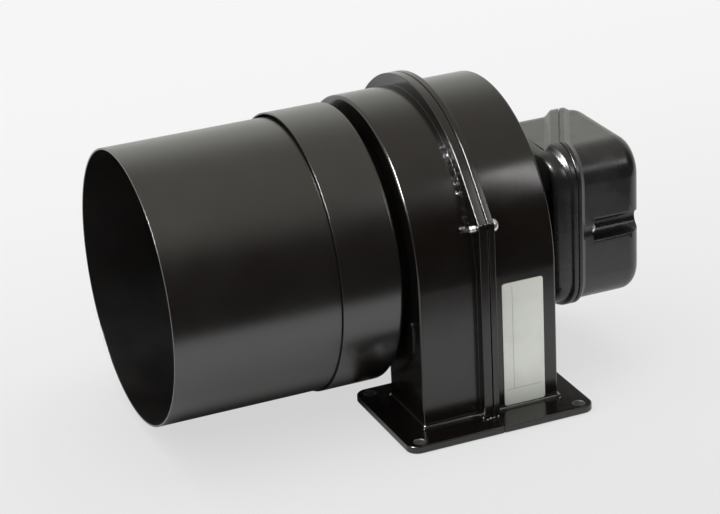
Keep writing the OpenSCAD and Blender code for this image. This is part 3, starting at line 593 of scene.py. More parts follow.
def sheet_finish(name, effects, colour, gloss, scale, streak):
    made = Finish(name, Metallic=1.0)
    spangle = made.group(effects["spangle"], Scale=scale, Streak=streak)
    made.feed("Base Color", mixed(made.tree, spangle["Tone"], shaded(colour, 0.78), tuple(colour)))
    made.feed("Roughness", ramp(made.tree, spangle["Tone"], 0.0, 1.0, gloss - 0.06, gloss + 0.08))
    made.bump(spangle["Height"], 0.25, 0.06 * MM)
    return made.material


def wound_finish(name, effects, colour, pitch):
    """Round wires laid side by side, one above the other, with painted shade in the grooves between
    them.
    """
    made = Finish(name, Metallic=0.85, IOR=1.5)
    tree = made.tree
    turn = maths(tree, "MULTIPLY", axes(tree, object_place(tree))["Z"], math.pi / pitch)
    wave = maths(tree, "ABSOLUTE", maths(tree, "SINE", turn))
    grain = made.group(effects["grain"], Scale=500.0, Contrast=1.0)
    # Colour falls to about a third in the grooves between wires: painted shade
    made.feed("Base Color", mixed(tree, ramp(tree, wave, 0.05, 0.6), shaded(colour, 0.35), colour))
    made.feed("Roughness", ramp(tree, grain["Mottle"], 0.0, 1.0, 0.3, 0.42))
    made.bump(wave, 0.8, 0.4 * MM)
    return made.material


def stacked_finish(name, effects, colour, pitch):
    """Laminations: thin sheets stacked along the fan axis."""
    made = Finish(name, Metallic=1.0)
    tree = made.tree
    sheets = maths(tree, "MULTIPLY", axes(tree, object_place(tree))["X"], 1 / pitch)
    line = ramp(tree, maths(tree, "FRACT", sheets), 0.0, 0.2)
    grain = made.group(effects["grain"], Scale=700.0, Contrast=1.0)
    made.feed("Base Color", mixed(tree, line, shaded(colour, 0.3), colour))
    made.feed("Roughness", ramp(tree, grain["Mottle"], 0.0, 1.0, 0.38, 0.55))
    made.bump(line, 0.5, 0.1 * MM)
    return made.material


FINISHES = {}


class FAN_OT_finishes(bpy.types.Operator):
    """Makes every finish of the fan and gives the carried-over nodes theirs"""

    bl_idname = "fan.finishes"
    bl_label = "Finishes"

    def execute(self, context):
        f = context.scene.fan_finishes
        black = f.moulding
        effects = {"dust": dust_effect(), "peel": peel_effect(), "grain": grain_effect(),
                   "spangle": spangle_effect()}
        # Colours, roughness, index of refraction and strength of the peel
        painted = {"cast_paint": (f, f.cast_gloss, 1.62, 0.10),
                   "sheet_paint": (f, f.sheet_gloss, 1.85, 0.05)}
        # Two colours, roughness, scale and strength of the grain, metal, index of refraction
        grained = {
            "moulding": (black, shaded(black, 1.5), 0.28, 900, 0.12, 0, 1.6),
            # Darker matt black of the base's foot: painted shade for the gap between box and scroll
            "matt_moulding": (shaded(black, 0.3), shaded(black, 0.4), 0.7, 900, 0.3, 0, 1.25),
            # Paler black of the cover rim's flank: a painted highlight
            "scuffed_moulding": (shaded(black, 7), shaded(black, 10), 0.4, 900, 0.2, 0, 1.6),
            "black_rubber": (f.rubber, shaded(f.rubber, 1.6), 0.62, 1300, 0.35),
            "die_cast": ((0.58, 0.59, 0.61), (0.47, 0.48, 0.5), 0.42, 650, 0.4, 1),
            # Lighter bare metal of the bolt holes, which also stands in for the pale floor seen
            # through them: painted light
            "bare_casting": ((0.10, 0.097, 0.095), (0.065, 0.063, 0.062), 0.5, 650, 0.4, 0.2),
            "brass": ((0.78, 0.6, 0.3), (0.66, 0.5, 0.24), 0.26, 900, 0.15, 1),
            "block_plastic": ((0.7, 0.68, 0.6), (0.62, 0.6, 0.52), 0.42, 700, 0.2),
            "can_white": ((0.72, 0.73, 0.73), (0.66, 0.67, 0.67), 0.36, 500, 0.15),
            "lead_red": ((0.36, 0.03, 0.025), (0.28, 0.022, 0.02), 0.42, 800, 0.2),
            "label_silver": (f.plate, shaded(f.plate, 0.93), 0.42, 1600, 0.06, 0.35),
            "rule_ink": (f.ink, shaded(f.ink, 1.5), 0.5, 900, 0.1)}
        # Colour, roughness, scale of the spangle and strength of the drawing marks
        bare_sheet = {
            "galvanised": (f.sheet_metal, 0.34, 170, 0.6),
            "zinc": (f.zinc, 0.32, 900, 0.3),
            "bearing_steel": ((0.66, 0.67, 0.69), 0.18, 700, 0.4),
            "spring_steel": ((0.5, 0.5, 0.52), 0.3, 600, 0.4),
            "screw_tip": ((0.10, 0.10, 0.10), 0.3, 700, 0.4)}
        # Colour and pitch of the layers
        wound = {"copper": ((0.74, 0.36, 0.18), 0.9 * MM)}
        stacked = {"lamination": ((0.4, 0.41, 0.43), 0.5 * MM)}
        for make, table in ((paint_finish, painted), (grained_finish, grained),
                            (sheet_finish, bare_sheet), (wound_finish, wound),
                            (stacked_finish, stacked)):
            for name, values in table.items():
                FINISHES[name] = make(name, effects, *values)
        slots = {p["node"]: p["material_slot"] for p in frame["record"]["subparts"]}
        for name, obj in frame["nodes"].items():
            obj.data.materials.clear()
            obj.data.materials.append(FINISHES[slots[name]])
        return {"FINISHED"}


# The cast housing

# Hole round the nozzle, shared by shell, standoff ring and collar
NOZZLE_HOLE = 53.3 * MM
# The neck's wall ends this far above the flange's face
FOOT_GAP = 0.3 * MM
# Depth by which one form is sunk into another
SUNK = 0.5 * MM
# How far the lugs stand out of the lip
LUG_PROUD = 0.2 * MM
# The far lugs: quarter of the scroll, angle above the far side, and distance out of the wall
FAR_LUGS = ((1, 25), (2, -50))
FAR_LUG_OUT = 6.5 * MM


def scroll_centre(h, q):
    half = h.spiral_step / 2
    y = -half if q < 2 else half
    z = -half if q in (0, 3) else half
    return Vector((0, AXIS_Y + y, AXIS_Z + z))


def scroll_radius(h, q):
    return h.near_r - h.spiral_step / 2 - q * h.spiral_step


def near_lug(h):
    return Vector((0, AXIS_Y - h.near_r - h.neck_lip + h.lug_r, AXIS_Z + h.lug_rise))


def far_lugs(h):
    found = []
    for q, angle in FAR_LUGS:
        a = math.radians(angle)
        out = scroll_radius(h, q) + FAR_LUG_OUT
        found.append(scroll_centre(h, q) + out * Vector((0, math.cos(a), math.sin(a))))
    return found


def scroll_wire(bm, h, out, foot_z, far_out, lug=False):
    """Outline of scroll and neck, drawn out by a distance, from the near foot to the far foot."""
    near_y = AXIS_Y - h.near_r - (h.neck_lip if lug else out)
    far_y = AXIS_Y - h.near_r + h.neck_d + far_out
    c = [scroll_centre(h, q) for q in range(4)]
    if lug:
        lug_at, r = near_lug(h), scroll_radius(h, 0) + out
        d = lug_at - c[0]
        turn = math.degrees(math.atan2(d.z, d.y) - math.acos((r - h.lug_r) / d.length))
        n = Vector((0, math.cos(math.radians(turn)), math.sin(math.radians(turn))))
        moves = [(0, near_y, lug_at.z), (lug_at, turn - 180, 8), c[0] + r * n,
                 (c[0], 90 - turn, 28)]
    else:
        moves = [(0, near_y, c[0].z), (c[0], -90, 40)]
    last = math.degrees(math.acos((far_y - c[3].y) / (scroll_radius(h, 3) + out)))
    moves += [(c[1], -90, 40), (c[2], -90, 40), (c[3], 90 - last, 18), (0, far_y, foot_z)]
    trace(bm, ALONG, (0, near_y, foot_z), moves, closed=False)


def half_body(h, depth, lip, side, hole_r):
    """Side wall, rounded edge and face of one half, as one closed shell."""
    bm = bmesh.new()
    scroll_wire(bm, h, 0, FOOT_GAP, 0)
    least_r, in_lip = 0.4 * MM, 0.4 * lip
    inner = max(h.edge_r - h.wall, least_r)
    section = quarter((depth - h.edge_r, -h.edge_r), h.edge_r, 0, 90, 6)
    section += quarter((lip + h.root_r, h.root_r), h.root_r, 270, -90, 5)
    section += [(in_lip, h.root_r), (in_lip, -h.wall)]
    section += quarter((depth - h.edge_r, -h.edge_r), inner, 90, -90, 4)
    face, floor = sweep(bm, ALONG, [(side * rise, out) for rise, out in section], side=-1)
    holes = []
    for loop, x in ((face, depth), (floor, depth - h.wall)):
        edges = list(loop) + [bm.edges.new(chain_ends(loop))]
        if hole_r:
            upright = on_axis(side * x) @ Matrix.Rotation(math.pi / 2, 4, "Y")
            circle = bmesh.ops.create_circle(bm, segments=96, radius=hole_r, cap_ends=False,
                                             matrix=upright)["verts"]
            holes.append(list(dict.fromkeys(e for v in circle for e in v.link_edges)))
            edges += holes[-1]
        fill(bm, edges, ALONG)
    if hole_r:
        bmesh.ops.bridge_loops(bm, edges=holes[0] + holes[1])
    close_holes(bm)
    return bm


def half_lip(h, lip, side):
    """Seam lip with rounded rims and a narrow open joint, its root buried in the wall."""
    bm = bmesh.new()
    foot, wall_left = h.flange_t - SUNK, 0.6 * MM
    bury = wall_left - h.wall
    r, gap = h.lip_r, h.joint_gap / 2
    scroll_wire(bm, h, h.lip_h, foot, h.neck_lip, lug=True)
    section = [(0, -h.joint_d - gap), (gap, -h.joint_d)]
    section += quarter((gap + r, -r), r, 180, -90, 4)
    section += quarter((lip - r, -r), r, 90, -90, 4)
    rims = sweep(bm, ALONG, [(side * rise, out) for rise, out in section], side=-1)
    roots = []
    for rim, x in zip(rims, (0, side * lip)):
        ends = chain_ends(rim)
        known = set(bm.edges)
        scroll_wire(bm, h, bury, foot, bury)
        root = [e for e in bm.edges if e not in known]
        bmesh.ops.translate(bm, vec=ALONG * x, verts=list({v for e in root for v in e.verts}))
        closers = []
        for a in ends:
            b = min(chain_ends(root), key=lambda v: (v.co - a.co).length)
            closers.append(bm.edges.new((a, b)))
        fill(bm, rim + root + closers, ALONG)
        roots += root
    bmesh.ops.bridge_loops(bm, edges=roots)
    close_holes(bm)
    return bm


def round_end(x, near, far, r, side, steps):
    """Moves round the two outer corners of a half outline that lies flat."""
    turn = x - side * r
    return [(turn, near, 0), ((turn, near + r, 0), side * 90, steps),
            (x, far - r, 0), ((turn, far - r, 0), side * 90, steps)]


def half_flange(h, depth, side):
    """Half of the base plate with two bolt holes and its share of the outlet."""
    bm = bmesh.new()
    low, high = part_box("front_shell" if side < 0 else "rear_shell")
    end = low.x if side < 0 else high.x
    half = abs(low.y)
    near = AXIS_Y - h.near_r + h.wall / 2
    far = AXIS_Y - h.near_r + h.neck_d - h.wall / 2
    inner = side * (depth - h.wall / 2)
    moves = round_end(end, -half, half, h.flange_r, side, 8)
    moves += [(x, y, 0) for x, y in ((0, half), (0, far), (inner, far), (inner, near), (0, near))]
    trace(bm, UP, (0, -half, 0), moves)
    for y in (-1, 1):
        place = Matrix.Translation((side * h.hole_x / 2, y * h.hole_y / 2, 0))
        bmesh.ops.create_circle(bm, segments=32, radius=h.hole_d / 2, cap_ends=False, matrix=place)
    slab(bm, UP, h.flange_t, h.flange_edge)
    # Faces round the bolt holes take the lighter bare metal, which also paints in the floor's light
    # seen through the holes
    hole_glimpse_margin = 0.3 * MM
    for f in bm.faces:
        off = f.calc_center_median() - Vector((side * h.hole_x / 2, 0, 0))
        off.y = abs(off.y) - h.hole_y / 2
        if off.xy.length < h.hole_d / 2 + hole_glimpse_margin:
            f.material_index = 1
    return bm


def foot_fillet(h, depth, side):
    """Fillet of paint and metal between the neck and the flange."""
    bm = bmesh.new()
    near = AXIS_Y - h.near_r
    far = near + h.neck_d
    moves = round_end(side * depth, near, far, h.edge_r, side, 6) + [(0, far, 0)]
    trace(bm, UP, (0, near, 0), moves, closed=False)
    top, r = h.flange_t, h.foot_r
    section = quarter((top + r, r), r, 270, -90, 5)
    section += [(top - SUNK, r), (top - SUNK, -SUNK), (top + r, -SUNK)]
    section.append(section[0])
    sweep(bm, UP, section, side=side)
    merged(bm)
    close_holes(bm)
    return bm


def lug_disc(h, lip, side, place):
    """Boss round a screw hole, a little thicker than the lip."""
    start, end, bore = 0.1 * MM * side, side * (lip + LUG_PROUD), 0.5 * MM
    return turned([(start, bore, 0), (start, h.lug_r, 0), (end, h.lug_r, h.lip_r), (end, bore, 0)],
                  Matrix.Translation(place), 32)


def face_pad(h):
    """Oblong pad low on the near side of the front face."""
    bm = bmesh.new()
    width, length, thick, edge_r = 7 * MM, 20 * MM, 0.8 * MM, 0.5 * MM
    in_from_near, under_axis = 13 * MM, 32 * MM
    x = SUNK - h.front_depth
    y = AXIS_Y - h.near_r + in_from_near
    z = AXIS_Z - under_axis
    half = (length - width) / 2
    trace(bm, ALONG, (x, y - width / 2, z - half), [
        ((x, y, z - half), 180, 12), (x, y + width / 2, z + half), ((x, y, z + half), 180, 12)])
    slab(bm, ALONG, -(thick + SUNK), edge_r)
    return bm


def paint_drops(drops, facets=2):
    """Drops of paint left where it gathered, given as (place, radius), each turned its own way."""
    bm = bmesh.new()
    turn_step, turn_axis = 2.4, Vector((0.3, 0.5, 0.8))
    for i, (place, r) in enumerate(drops):
        turn = Matrix.Rotation(turn_step * i, 4, turn_axis)
        bmesh.ops.create_icosphere(bm, subdivisions=facets, radius=r,
                                   matrix=Matrix.Translation(place) @ turn)
    return bm


# Grains of spatter beside each half's lip: count, first and last angle, width of the band
SPATTER = {-1: (150, 23, 54, 3 * MM), 1: (36, 33, 46, 2 * MM)}


def root_spatter(h, lip, side):
    """Grains of spatter on the scroll beside a lip's root, by angle above the near side."""
    count, start, end, spread = SPATTER[side]
    off_lip, least_r, more_r = 0.4 * MM, 0.3, 0.45
    centre, r = scroll_centre(h, 0), scroll_radius(h, 0)
    for i in range(count):
        along, over, big = ((i + 1) * f % 1 for f in (0.6180, 0.7549, 0.5698))
        a = math.radians(start + (end - start) * along)
        x = side * (lip + off_lip + spread * over ** 1.5)
        place = Vector((x, centre.y - r * math.cos(a), centre.z + r * math.sin(a)))
        yield place, (least_r + more_r * big) * MM


# Larger drops: at the neck's two foot corners, round the lip's foot, on the flange and on the lug
DROPS = [(Vector(place) * MM, r * MM) for place, r in (
    ((-41.8, -24.0, 4.9), 1.0), ((43.6, -25.0, 4.8), 0.9), ((-6.4, -27.4, 4.9), 1.0),
    ((-4.9, -29.8, 4.7), 0.8), ((-2.6, -28.8, 4.7), 0.9), ((-0.9, -29.2, 4.7), 0.7),
    ((2.4, -28.6, 4.7), 0.8), ((-3.4, -40.7, 3.9), 0.6), ((-4.2, -26.7, 122.6), 0.7),
    ((-1.6, -26.7, 122.4), 0.6), ((1.4, -26.7, 122.6), 0.7))]


class FAN_OT_housing(bpy.types.Operator):
    """Builds the two cast halves of the scroll with neck, lips and base flange"""

    bl_idname = "fan.housing"
    bl_label = "Cast housing"

    def execute(self, context):
        h = context.scene.fan_housing
        for name, replaced, depth, lip, side, hole_r in (
                ("front_casting", "front_shell", h.front_depth, h.front_lip, -1, NOZZLE_HOLE),
                ("rear_casting", "rear_shell", h.rear_depth, h.rear_lip, 1, 0.0)):
            bm = half_body(h, depth, lip, side, hole_r)
            parts = [half_lip(h, lip, side), half_flange(h, depth, side),
                     foot_fillet(h, depth, side)]
            parts += [lug_disc(h, lip, side, place) for place in far_lugs(h)]
            if side < 0:
                parts.append(face_pad(h))
            parts.append(paint_drops(root_spatter(h, lip, side), 1))
            parts.append(paint_drops([d for d in DROPS if d[0].x * side > 0]))
            for part in parts:
                join(bm, part)
            piece(bm, name, replaced, "cast_paint", "bare_casting")
        return {"FINISHED"}


# The inlet and the rotor

class FAN_OT_inlet(bpy.types.Operator):
    """Builds the inlet tube, its collar, the standoff ring and the nozzle"""

    bl_idname = "fan.inlet"
    bl_label = "Inlet"

    def execute(self, context):
        s = context.scene.fan_inlet
        t, burr, fine = s.sheet, s.burr, 192
        low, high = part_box("inlet_tube")
        x0, x1, r = span("inlet_tube")
        place = Matrix.Translation((0, AXIS_Y, (low.z + high.z) / 2))
        corners = [(x0, r - t, burr), (x0, r, burr), (x1, r, burr), (x1, r - t, burr)]
        piece(turned(corners, place, fine), "tube", "inlet_tube", "sheet_paint")

        x0, x1, r = span("inlet_collar")
        corners = [(x0, r - t, burr), (x0, r, burr), (x1, r, s.collar_r), (x1, NOZZLE_HOLE, burr),
                   (x1 - t, NOZZLE_HOLE, burr), (x1 - t, r - t, s.collar_r - t)]
        piece(turned(corners, on_axis(), fine), "collar", "inlet_collar", "sheet_paint")

        x0, x1, r = span("standoff_ring")
        edge, steps = 0.8 * MM, 128
        corners = [(x0, NOZZLE_HOLE, edge), (x0, r, edge), (x1, r, edge), (x1, NOZZLE_HOLE, edge)]
        piece(turned(corners, on_axis(), steps), "standoff", "standoff_ring", "black_rubber")

        x0, x1, r = span("inlet_nozzle")
        throat, edge, t = 46 * MM, 0.3 * MM, s.nozzle_t
        corners = [(x0, r, edge), (x0, throat, s.bell_r), (x1, throat, edge), (x1, throat + t, edge),
                   (x0 + t, throat + t, s.bell_r - t), (x0 + t, r, edge)]
        piece(turned(corners, on_axis(), steps), "nozzle", "inlet_nozzle", "galvanised")
        return {"FINISHED"}


class FAN_OT_rotor(bpy.types.Operator):
    """Builds the drawn rotor can with its rounded end and flange"""

    bl_idname = "fan.rotor"
    bl_label = "Rotor can"

    def execute(self, context):
        x0, x1, rim = span("rotor_can")
        r, t, hub, bore = 34 * MM, 2 * MM, 9 * MM, 4.02 * MM
        hub_end = x0 + 8 * MM
        can = turned([(x0, bore, 0), (x0, r, 4 * MM), (x1 - t, r, 1.5 * MM),
                      (x1 - t, rim, 0.4 * MM), (x1, rim, 0.4 * MM), (x1, r - t, 0),
                      (x0 + t, r - t, 2 * MM), (x0 + t, hub, 0), (hub_end, hub, 0.5 * MM),
                      (hub_end, bore, 0)], on_axis())
        piece(can, "rotor_cup", "rotor_can", "galvanised", body="rotor")
        return {"FINISHED"}


# The terminal box

# Seats of the near and far cover screws past the parting line, along the fan axis
SEAT_PAST = {-1: 11 * MM, 1: 4 * MM}


def parting(b, y):
    """Parting line between base and cover, along the fan axis."""
    turn = NEAR_FACE + b.kink
    lean = (b.part_far - b.part_near) / (FAR_FACE - turn)
    return BASE_X + b.part_near + max(0.0, y - turn) * lean


def seats(b):
    """Where the near and far cover screws sit along the fan axis, by side."""
    return {-1: BASE_X + b.part_near + SEAT_PAST[-1], 1: BASE_X + b.part_far + SEAT_PAST[1]}


def side_face(side):
    return NEAR_FACE if side < 0 else FAR_FACE


def box_wire(bm, b):
    """Rounded outline of the cover's side faces, as a closed wire."""
    y0, y1, z0, z1 = NEAR_FACE, FAR_FACE, UNDER_FACE, TOP_FACE
    r, steps = b.corner_r, 14
    turn = y0 + b.kink
    mid = (turn + y1 - r) / 2

    def height(part):
        return z0 + r + part * (z1 - z0 - 2 * r)

    moves = [(0, y0, height(part)) for part in (0.3, 0.5, 0.7, 1.0)]
    moves.append(((0, y0 + r, z1 - r), -90, steps))
    moves += [(0, y, z1) for y in (turn, mid, y1 - r)]
    moves.append(((0, y1 - r, z1 - r), -90, steps))
    moves += [(0, y1, height(part)) for part in (0.7, 0.5, 0.3, 0.0)]
    moves.append(((0, y1 - r, z0 + r), -90, steps))
    moves += [(0, y, z0) for y in (mid, turn, y0 + r)]
    moves.append(((0, y0 + r, z0 + r), -90 * (steps - 1) / steps, steps - 1))
    trace(bm, ALONG, (0, y0, z0 + r), moves)


def box_solid(b, section):
    """Solid with the box's outline, closed at the first and last station of a section."""
    bm = bmesh.new()
    box_wire(bm, b)
    first, last = sweep(bm, ALONG, section, closed=True, side=-1)
    fill(bm, last, ALONG)
    fill(bm, first, ALONG)
    return bm


def nearness(b, p):
    """1 on the near side of the box, falling to 0 across its corner."""
    return min(1.0, max(0.0, (COVER_LOW.y + b.corner_r - p.y) / b.corner_r))


def off_line(b, by, spread=0.0):
    """Rise that follows the parting line at a distance, which may spread over the top."""
    return lambda p: parting(b, p.y) + by * (1 + spread * (1 - nearness(b, p)))


def off_ledge(b, by):
    """Rise that follows the edge facing the scroll at a distance."""
    return lambda p: BASE_X + b.ledge + b.ledge_near * nearness(b, p) + by


def base_foot(b):
    """Draws points in to the outline of the foot, which keeps to the far side."""
    mid = (COVER_LOW.z + COVER_HIGH.z) / 2
    return lambda p: Vector((p.x, FAR_FACE + b.foot_y * (p.y - FAR_FACE),
                             mid + b.foot_z * (p.z - mid)))


def corner_off(b, p):
    """How far a point lies past the centres of the box's rounded corners, across and up."""
    half = (COVER_HIGH - COVER_LOW) / 2 - Vector((1, 1, 1)) * (b.corner_r + RIM)
    off = p - (COVER_LOW + COVER_HIGH) / 2
    return max(abs(off.y) - half.y, 0.0), max(abs(off.z) - half.z, 0.0)


def foot_side(b, out):
    """Outer or inner face of the foot, whose squarer corners hold the screws."""
    return lambda p: out + b.foot_square * max(0.0, sum(corner_off(b, p)) / b.corner_r - 1)


def base_side(b, sunk=0.0, to_bead=0.0):
    """Outer face of the base, sunk by a depth or part of the way up to the bead."""
    def out(p):
        level_here = b.near_out * nearness(b, p) - b.step
        return level_here + to_bead * (b.bead_out - level_here) - sunk
    return out


def base_solid(b):
    """Base with its broad bead, standing off the scroll on a smaller foot."""
    foot, e = base_foot(b), b.edge
    side, inner = -b.step, -b.step - b.wall
    bead_steps, ledge_steps = 12, 10
    section = [(BASE_X + b.wall, foot_side(b, inner), foot),
               (off_ledge(b, b.wall), foot_side(b, inner), foot),
               (off_ledge(b, b.wall), inner), (off_line(b, 0), inner)]
    section += [(off_line(b, rise), out) for rise, out in
                quarter((-e, b.bead_out - e), e, 0, 90, 4)]
    for i in range(bead_steps + 1):
        turn = math.pi * i / bead_steps
        section.append((off_line(b, -b.bead_top - b.bead_w * i / bead_steps, b.top_spread),
                        base_side(b, 0, 0.5 + 0.5 * math.cos(turn))))
    for i in range(ledge_steps + 1):
        turn = math.radians(90 + 90 * i / ledge_steps)
        section.append((off_ledge(b, b.ledge_w * (1 + math.cos(turn))),
                        base_side(b, b.ledge_r * (1 - math.sin(turn)))))
    section += [(rise, foot_side(b, out), foot) for rise, out in
                ((off_ledge(b, 0), side), (BASE_X + e, side), (BASE_X, side - e))]
    return box_solid(b, section)


def cover_solid(b):
    """Cover with its rim, a skirt that hangs over the gasket's edge, and its rounded end."""
    end, e = COVER_HIGH.x, b.edge
    skirt, groove = 0.05 * MM, b.rim_out - b.joint_d
    section = [(off_line(b, rise), out) for rise, out in (
        (b.gasket, -b.wall), (b.gasket, 0.0), (skirt, 0.0), (skirt, groove), (b.joint, groove))]
    section += [(off_line(b, b.joint + rise), out) for rise, out in
                quarter((e, b.rim_out - e), e, 180, -90, 4)]
    section += [(off_line(b, b.joint + rise, 0.3 * b.top_spread), out) for rise, out in
                slope(b.rim_top, b.rim_out, 0.0, e, b.flank)]
    section += quarter((end - b.end_r, -b.end_r), b.end_r, 90, -90, 9)
    return box_solid(b, section)


def cover_hollow(b):
    """Room inside the cover, from below its mouth to its thick end."""
    end_wall, past, chamfer = 6 * MM, 2 * MM, 2 * MM
    end = COVER_HIGH.x - end_wall
    return box_solid(b, [(off_line(b, -past), -b.wall), (end - chamfer, -b.wall),
                         (end, -b.wall - chamfer)])


def channel_solid(b, side, x0, x1, grow):
    """U-shaped channel in a side face, flared where it meets the face unless it is grown."""
    bm = bmesh.new()
    face, past = side_face(side), 3 * MM
    r = b.channel_w / 2 + grow
    lip = 0 if grow else b.channel_lip
    mid = face - side * (b.channel_d - b.channel_w / 2)
    inner, out = face - side * lip, face + side * past
    under, over = AXIS_Z - r - lip, AXIS_Z + r + lip
    flares = [[((x0, inner, z), side * 90, 5)] if lip else [] for z in (under, over)]
    moves = [(x0, face, under), *flares[0], (x0, mid, AXIS_Z - r),
             ((x0, mid, AXIS_Z), -side * 180, 16), (x0, inner, AXIS_Z + r), *flares[1],
             (x0, out, over)]
    trace(bm, ALONG, (x0, out, under), moves)
    slab(bm, ALONG, x1 - x0)
    return bm


def relief_solid(b, side, seat):
    """Cone lying along the side face, which cuts the shallow relief between screw and rim."""
    face = side_face(side)
    start = parting(b, face) + b.joint + b.rim_top + 0.4 * b.rim_out
    length = seat + 0.5 * MM - start
    r = (b.relief_w ** 2 / 4 + b.relief_d ** 2) / (2 * b.relief_d)
    centre = Vector((start + length / 2, face + side * (r - b.relief_d), AXIS_Z))
    bm = bmesh.new()
    bmesh.ops.create_cone(bm, cap_ends=True, segments=64, radius1=r - 0.35 * b.relief_d, radius2=r,
                          depth=length, matrix=Matrix.Translation(centre)
                          @ Matrix.Rotation(math.pi / 2, 4, "Y"))
    return bm


def paint_flank_sheen(bm, b):
    """Gives the rim's flank its paler finish: a painted highlight in place of the floor mirrored in
    the flank.
    """
    bm.normal_update()
    for f in bm.faces:
        place = f.calc_center_median()
        past = place.x - parting(b, place.y) - b.joint - b.rim_top
        proud = math.hypot(*corner_off(b, place)) - b.corner_r
        if past > -b.edge and proud > 0.1 * MM and 0.4 < f.normal.x < 0.9:
            f.material_index = 1


class FAN_OT_terminal_box(bpy.types.Operator):
    """Builds the moulded base and cover of the terminal box"""

    bl_idname = "fan.terminal_box"
    bl_label = "Terminal box"

    def execute(self, context):
        b = context.scene.fan_box
        base = base_solid(b)
        # The foot's faces take the darker matt moulding: painted shade in the gap by the scroll
        for f in base.faces:
            if f.calc_center_median().x < BASE_X + b.ledge - b.edge:
                f.material_index = 1
        piece(base, "terminal_base", "box_base", "moulding", "matt_moulding")
        hollow, past = cover_hollow(b), 2 * MM
        for side in seats(b):
            hollow = cut(hollow, channel_solid(b, side, BASE_X, COVER_HIGH.x, b.wall))
        cover = cut(cover_solid(b), hollow)
        for side, seat in seats(b).items():
            cover = cut(cover, channel_solid(b, side, seat, COVER_HIGH.x + past, 0))
            cover = cut(cover, relief_solid(b, side, seat))
        paint_flank_sheen(cover, b)
        piece(cover, "terminal_cover", "box_cover", "moulding", "scuffed_moulding")
        return {"FINISHED"}


# Screws

def narrowed(bm, edges, to, drop):
    """Draws a loop of edges in and down. Returns the new loop's edges."""
    verts, loop = drawn_out(bm, edges)
    bmesh.ops.scale(bm, vec=(to, to, 1), verts=verts)
    bmesh.ops.translate(bm, vec=(0, 0, -drop), verts=verts)
    return loop


def screw_thread(s, core, length, tip):
    """Ridge wound up the shank from above the tip to below the head."""
    bm = bmesh.new()
    pitch, steps = s.pitch, 16
    foot, half = core - 0.05 * MM, 0.42 * pitch
    turns = max(1.0, (length - tip - 1.2 * pitch) / pitch)
    count = int(round(turns * steps))
    verts, edges = ring(bm, [(x, 0, z - length + tip + 0.5 * pitch) for x, z in
                             ((foot, -half), (s.shank_d / 2, 0), (foot, half))])
    bm.faces.new(verts)
    made = bmesh.ops.spin(bm, geom=verts + edges, cent=(0, 0, 0), axis=UP,
                          dvec=(0, 0, pitch / steps), angle=count * 2 * math.pi / steps,
                          steps=count, use_duplicate=False)
    bm.faces.new(verts_in(made["geom_last"]))
    return bm


def screw_solid(place, s, length, tall=1.0, tip=0.0):
    """Pan-head screw with a cross recess and a cut thread: head above z = 0, shank below."""
    bm = bmesh.new()
    r, rise, core = s.head_d / 2, s.head_h * tall, 0.40 * s.shank_d
    profile = ((core, tip - length), (core, 0), (r, 0), (r, 0.35 * rise),
               (0.86 * r, 0.78 * rise), (0.52 * r, rise))
    verts = [bm.verts.new((x, 0, z)) for x, z in profile]
    for pair in zip(verts, verts[1:]):
        bm.edges.new(pair)
    round_corner(bm, verts[2], 0.12 * rise, 2)
    for v in verts[3:5]:
        if v.is_valid:
            round_corner(bm, v, 0.3 * rise, 3)
    spin_round(bm, UP, 24)
    rim = [e for e in bm.edges if e.is_boundary and all(v.co.z > 0.9 * rise for v in e.verts)]
    end = [e for e in bm.edges if e.is_boundary and e not in rim]
    arm, wide = 0.40 * r, 0.11 * r
    cross = [(arm, -wide), (arm, wide), (wide, wide)]
    for _ in range(3):
        cross += [(-y, x) for x, y in cross[-3:]]
    _, edges = ring(bm, [(x, y, rise) for x, y in cross])
    fill(bm, rim + edges, UP)
    fill(bm, narrowed(bm, edges, 0.7, 0.55 * rise), UP)
    if tip:
        end = narrowed(bm, narrowed(bm, end, 0.62, 0.3 * tip), 0.8, 0.7 * tip)
    fill(bm, end, UP)
    if tip:
        for f in bm.faces:
            if f.calc_center_median().z < tip - length - 0.1 * MM:
                f.material_index = 1
    join(bm, screw_thread(s, core, length, tip))
    merged(bm, 1e-7)
    bmesh.ops.transform(bm, matrix=place, verts=bm.verts)
    return bm


def facing(x, y, z, back=False, spin=0.0):
    """Place of a screw whose head faces +X, or -X when back is set."""
    turn = Matrix.Rotation(math.radians(-90 if back else 90), 4, "Y")
    return Matrix.Translation((x, y, z)) @ turn @ Matrix.Rotation(math.radians(spin), 4, "Z")


def four_round(r):
    for a in (45, 135, 225, 315):
        yield (AXIS_Y + r * math.cos(math.radians(a)), AXIS_Z + r * math.sin(math.radians(a)))


def screw_group(name, replaced, s, screws, *tip_finish, **shape):
    """One piece of like screws, given as (place, length)."""
    bm = bmesh.new()
    for place, length in screws:
        join(bm, screw_solid(place, s, length, **shape))
    piece(bm, name, replaced, "zinc", *tip_finish)


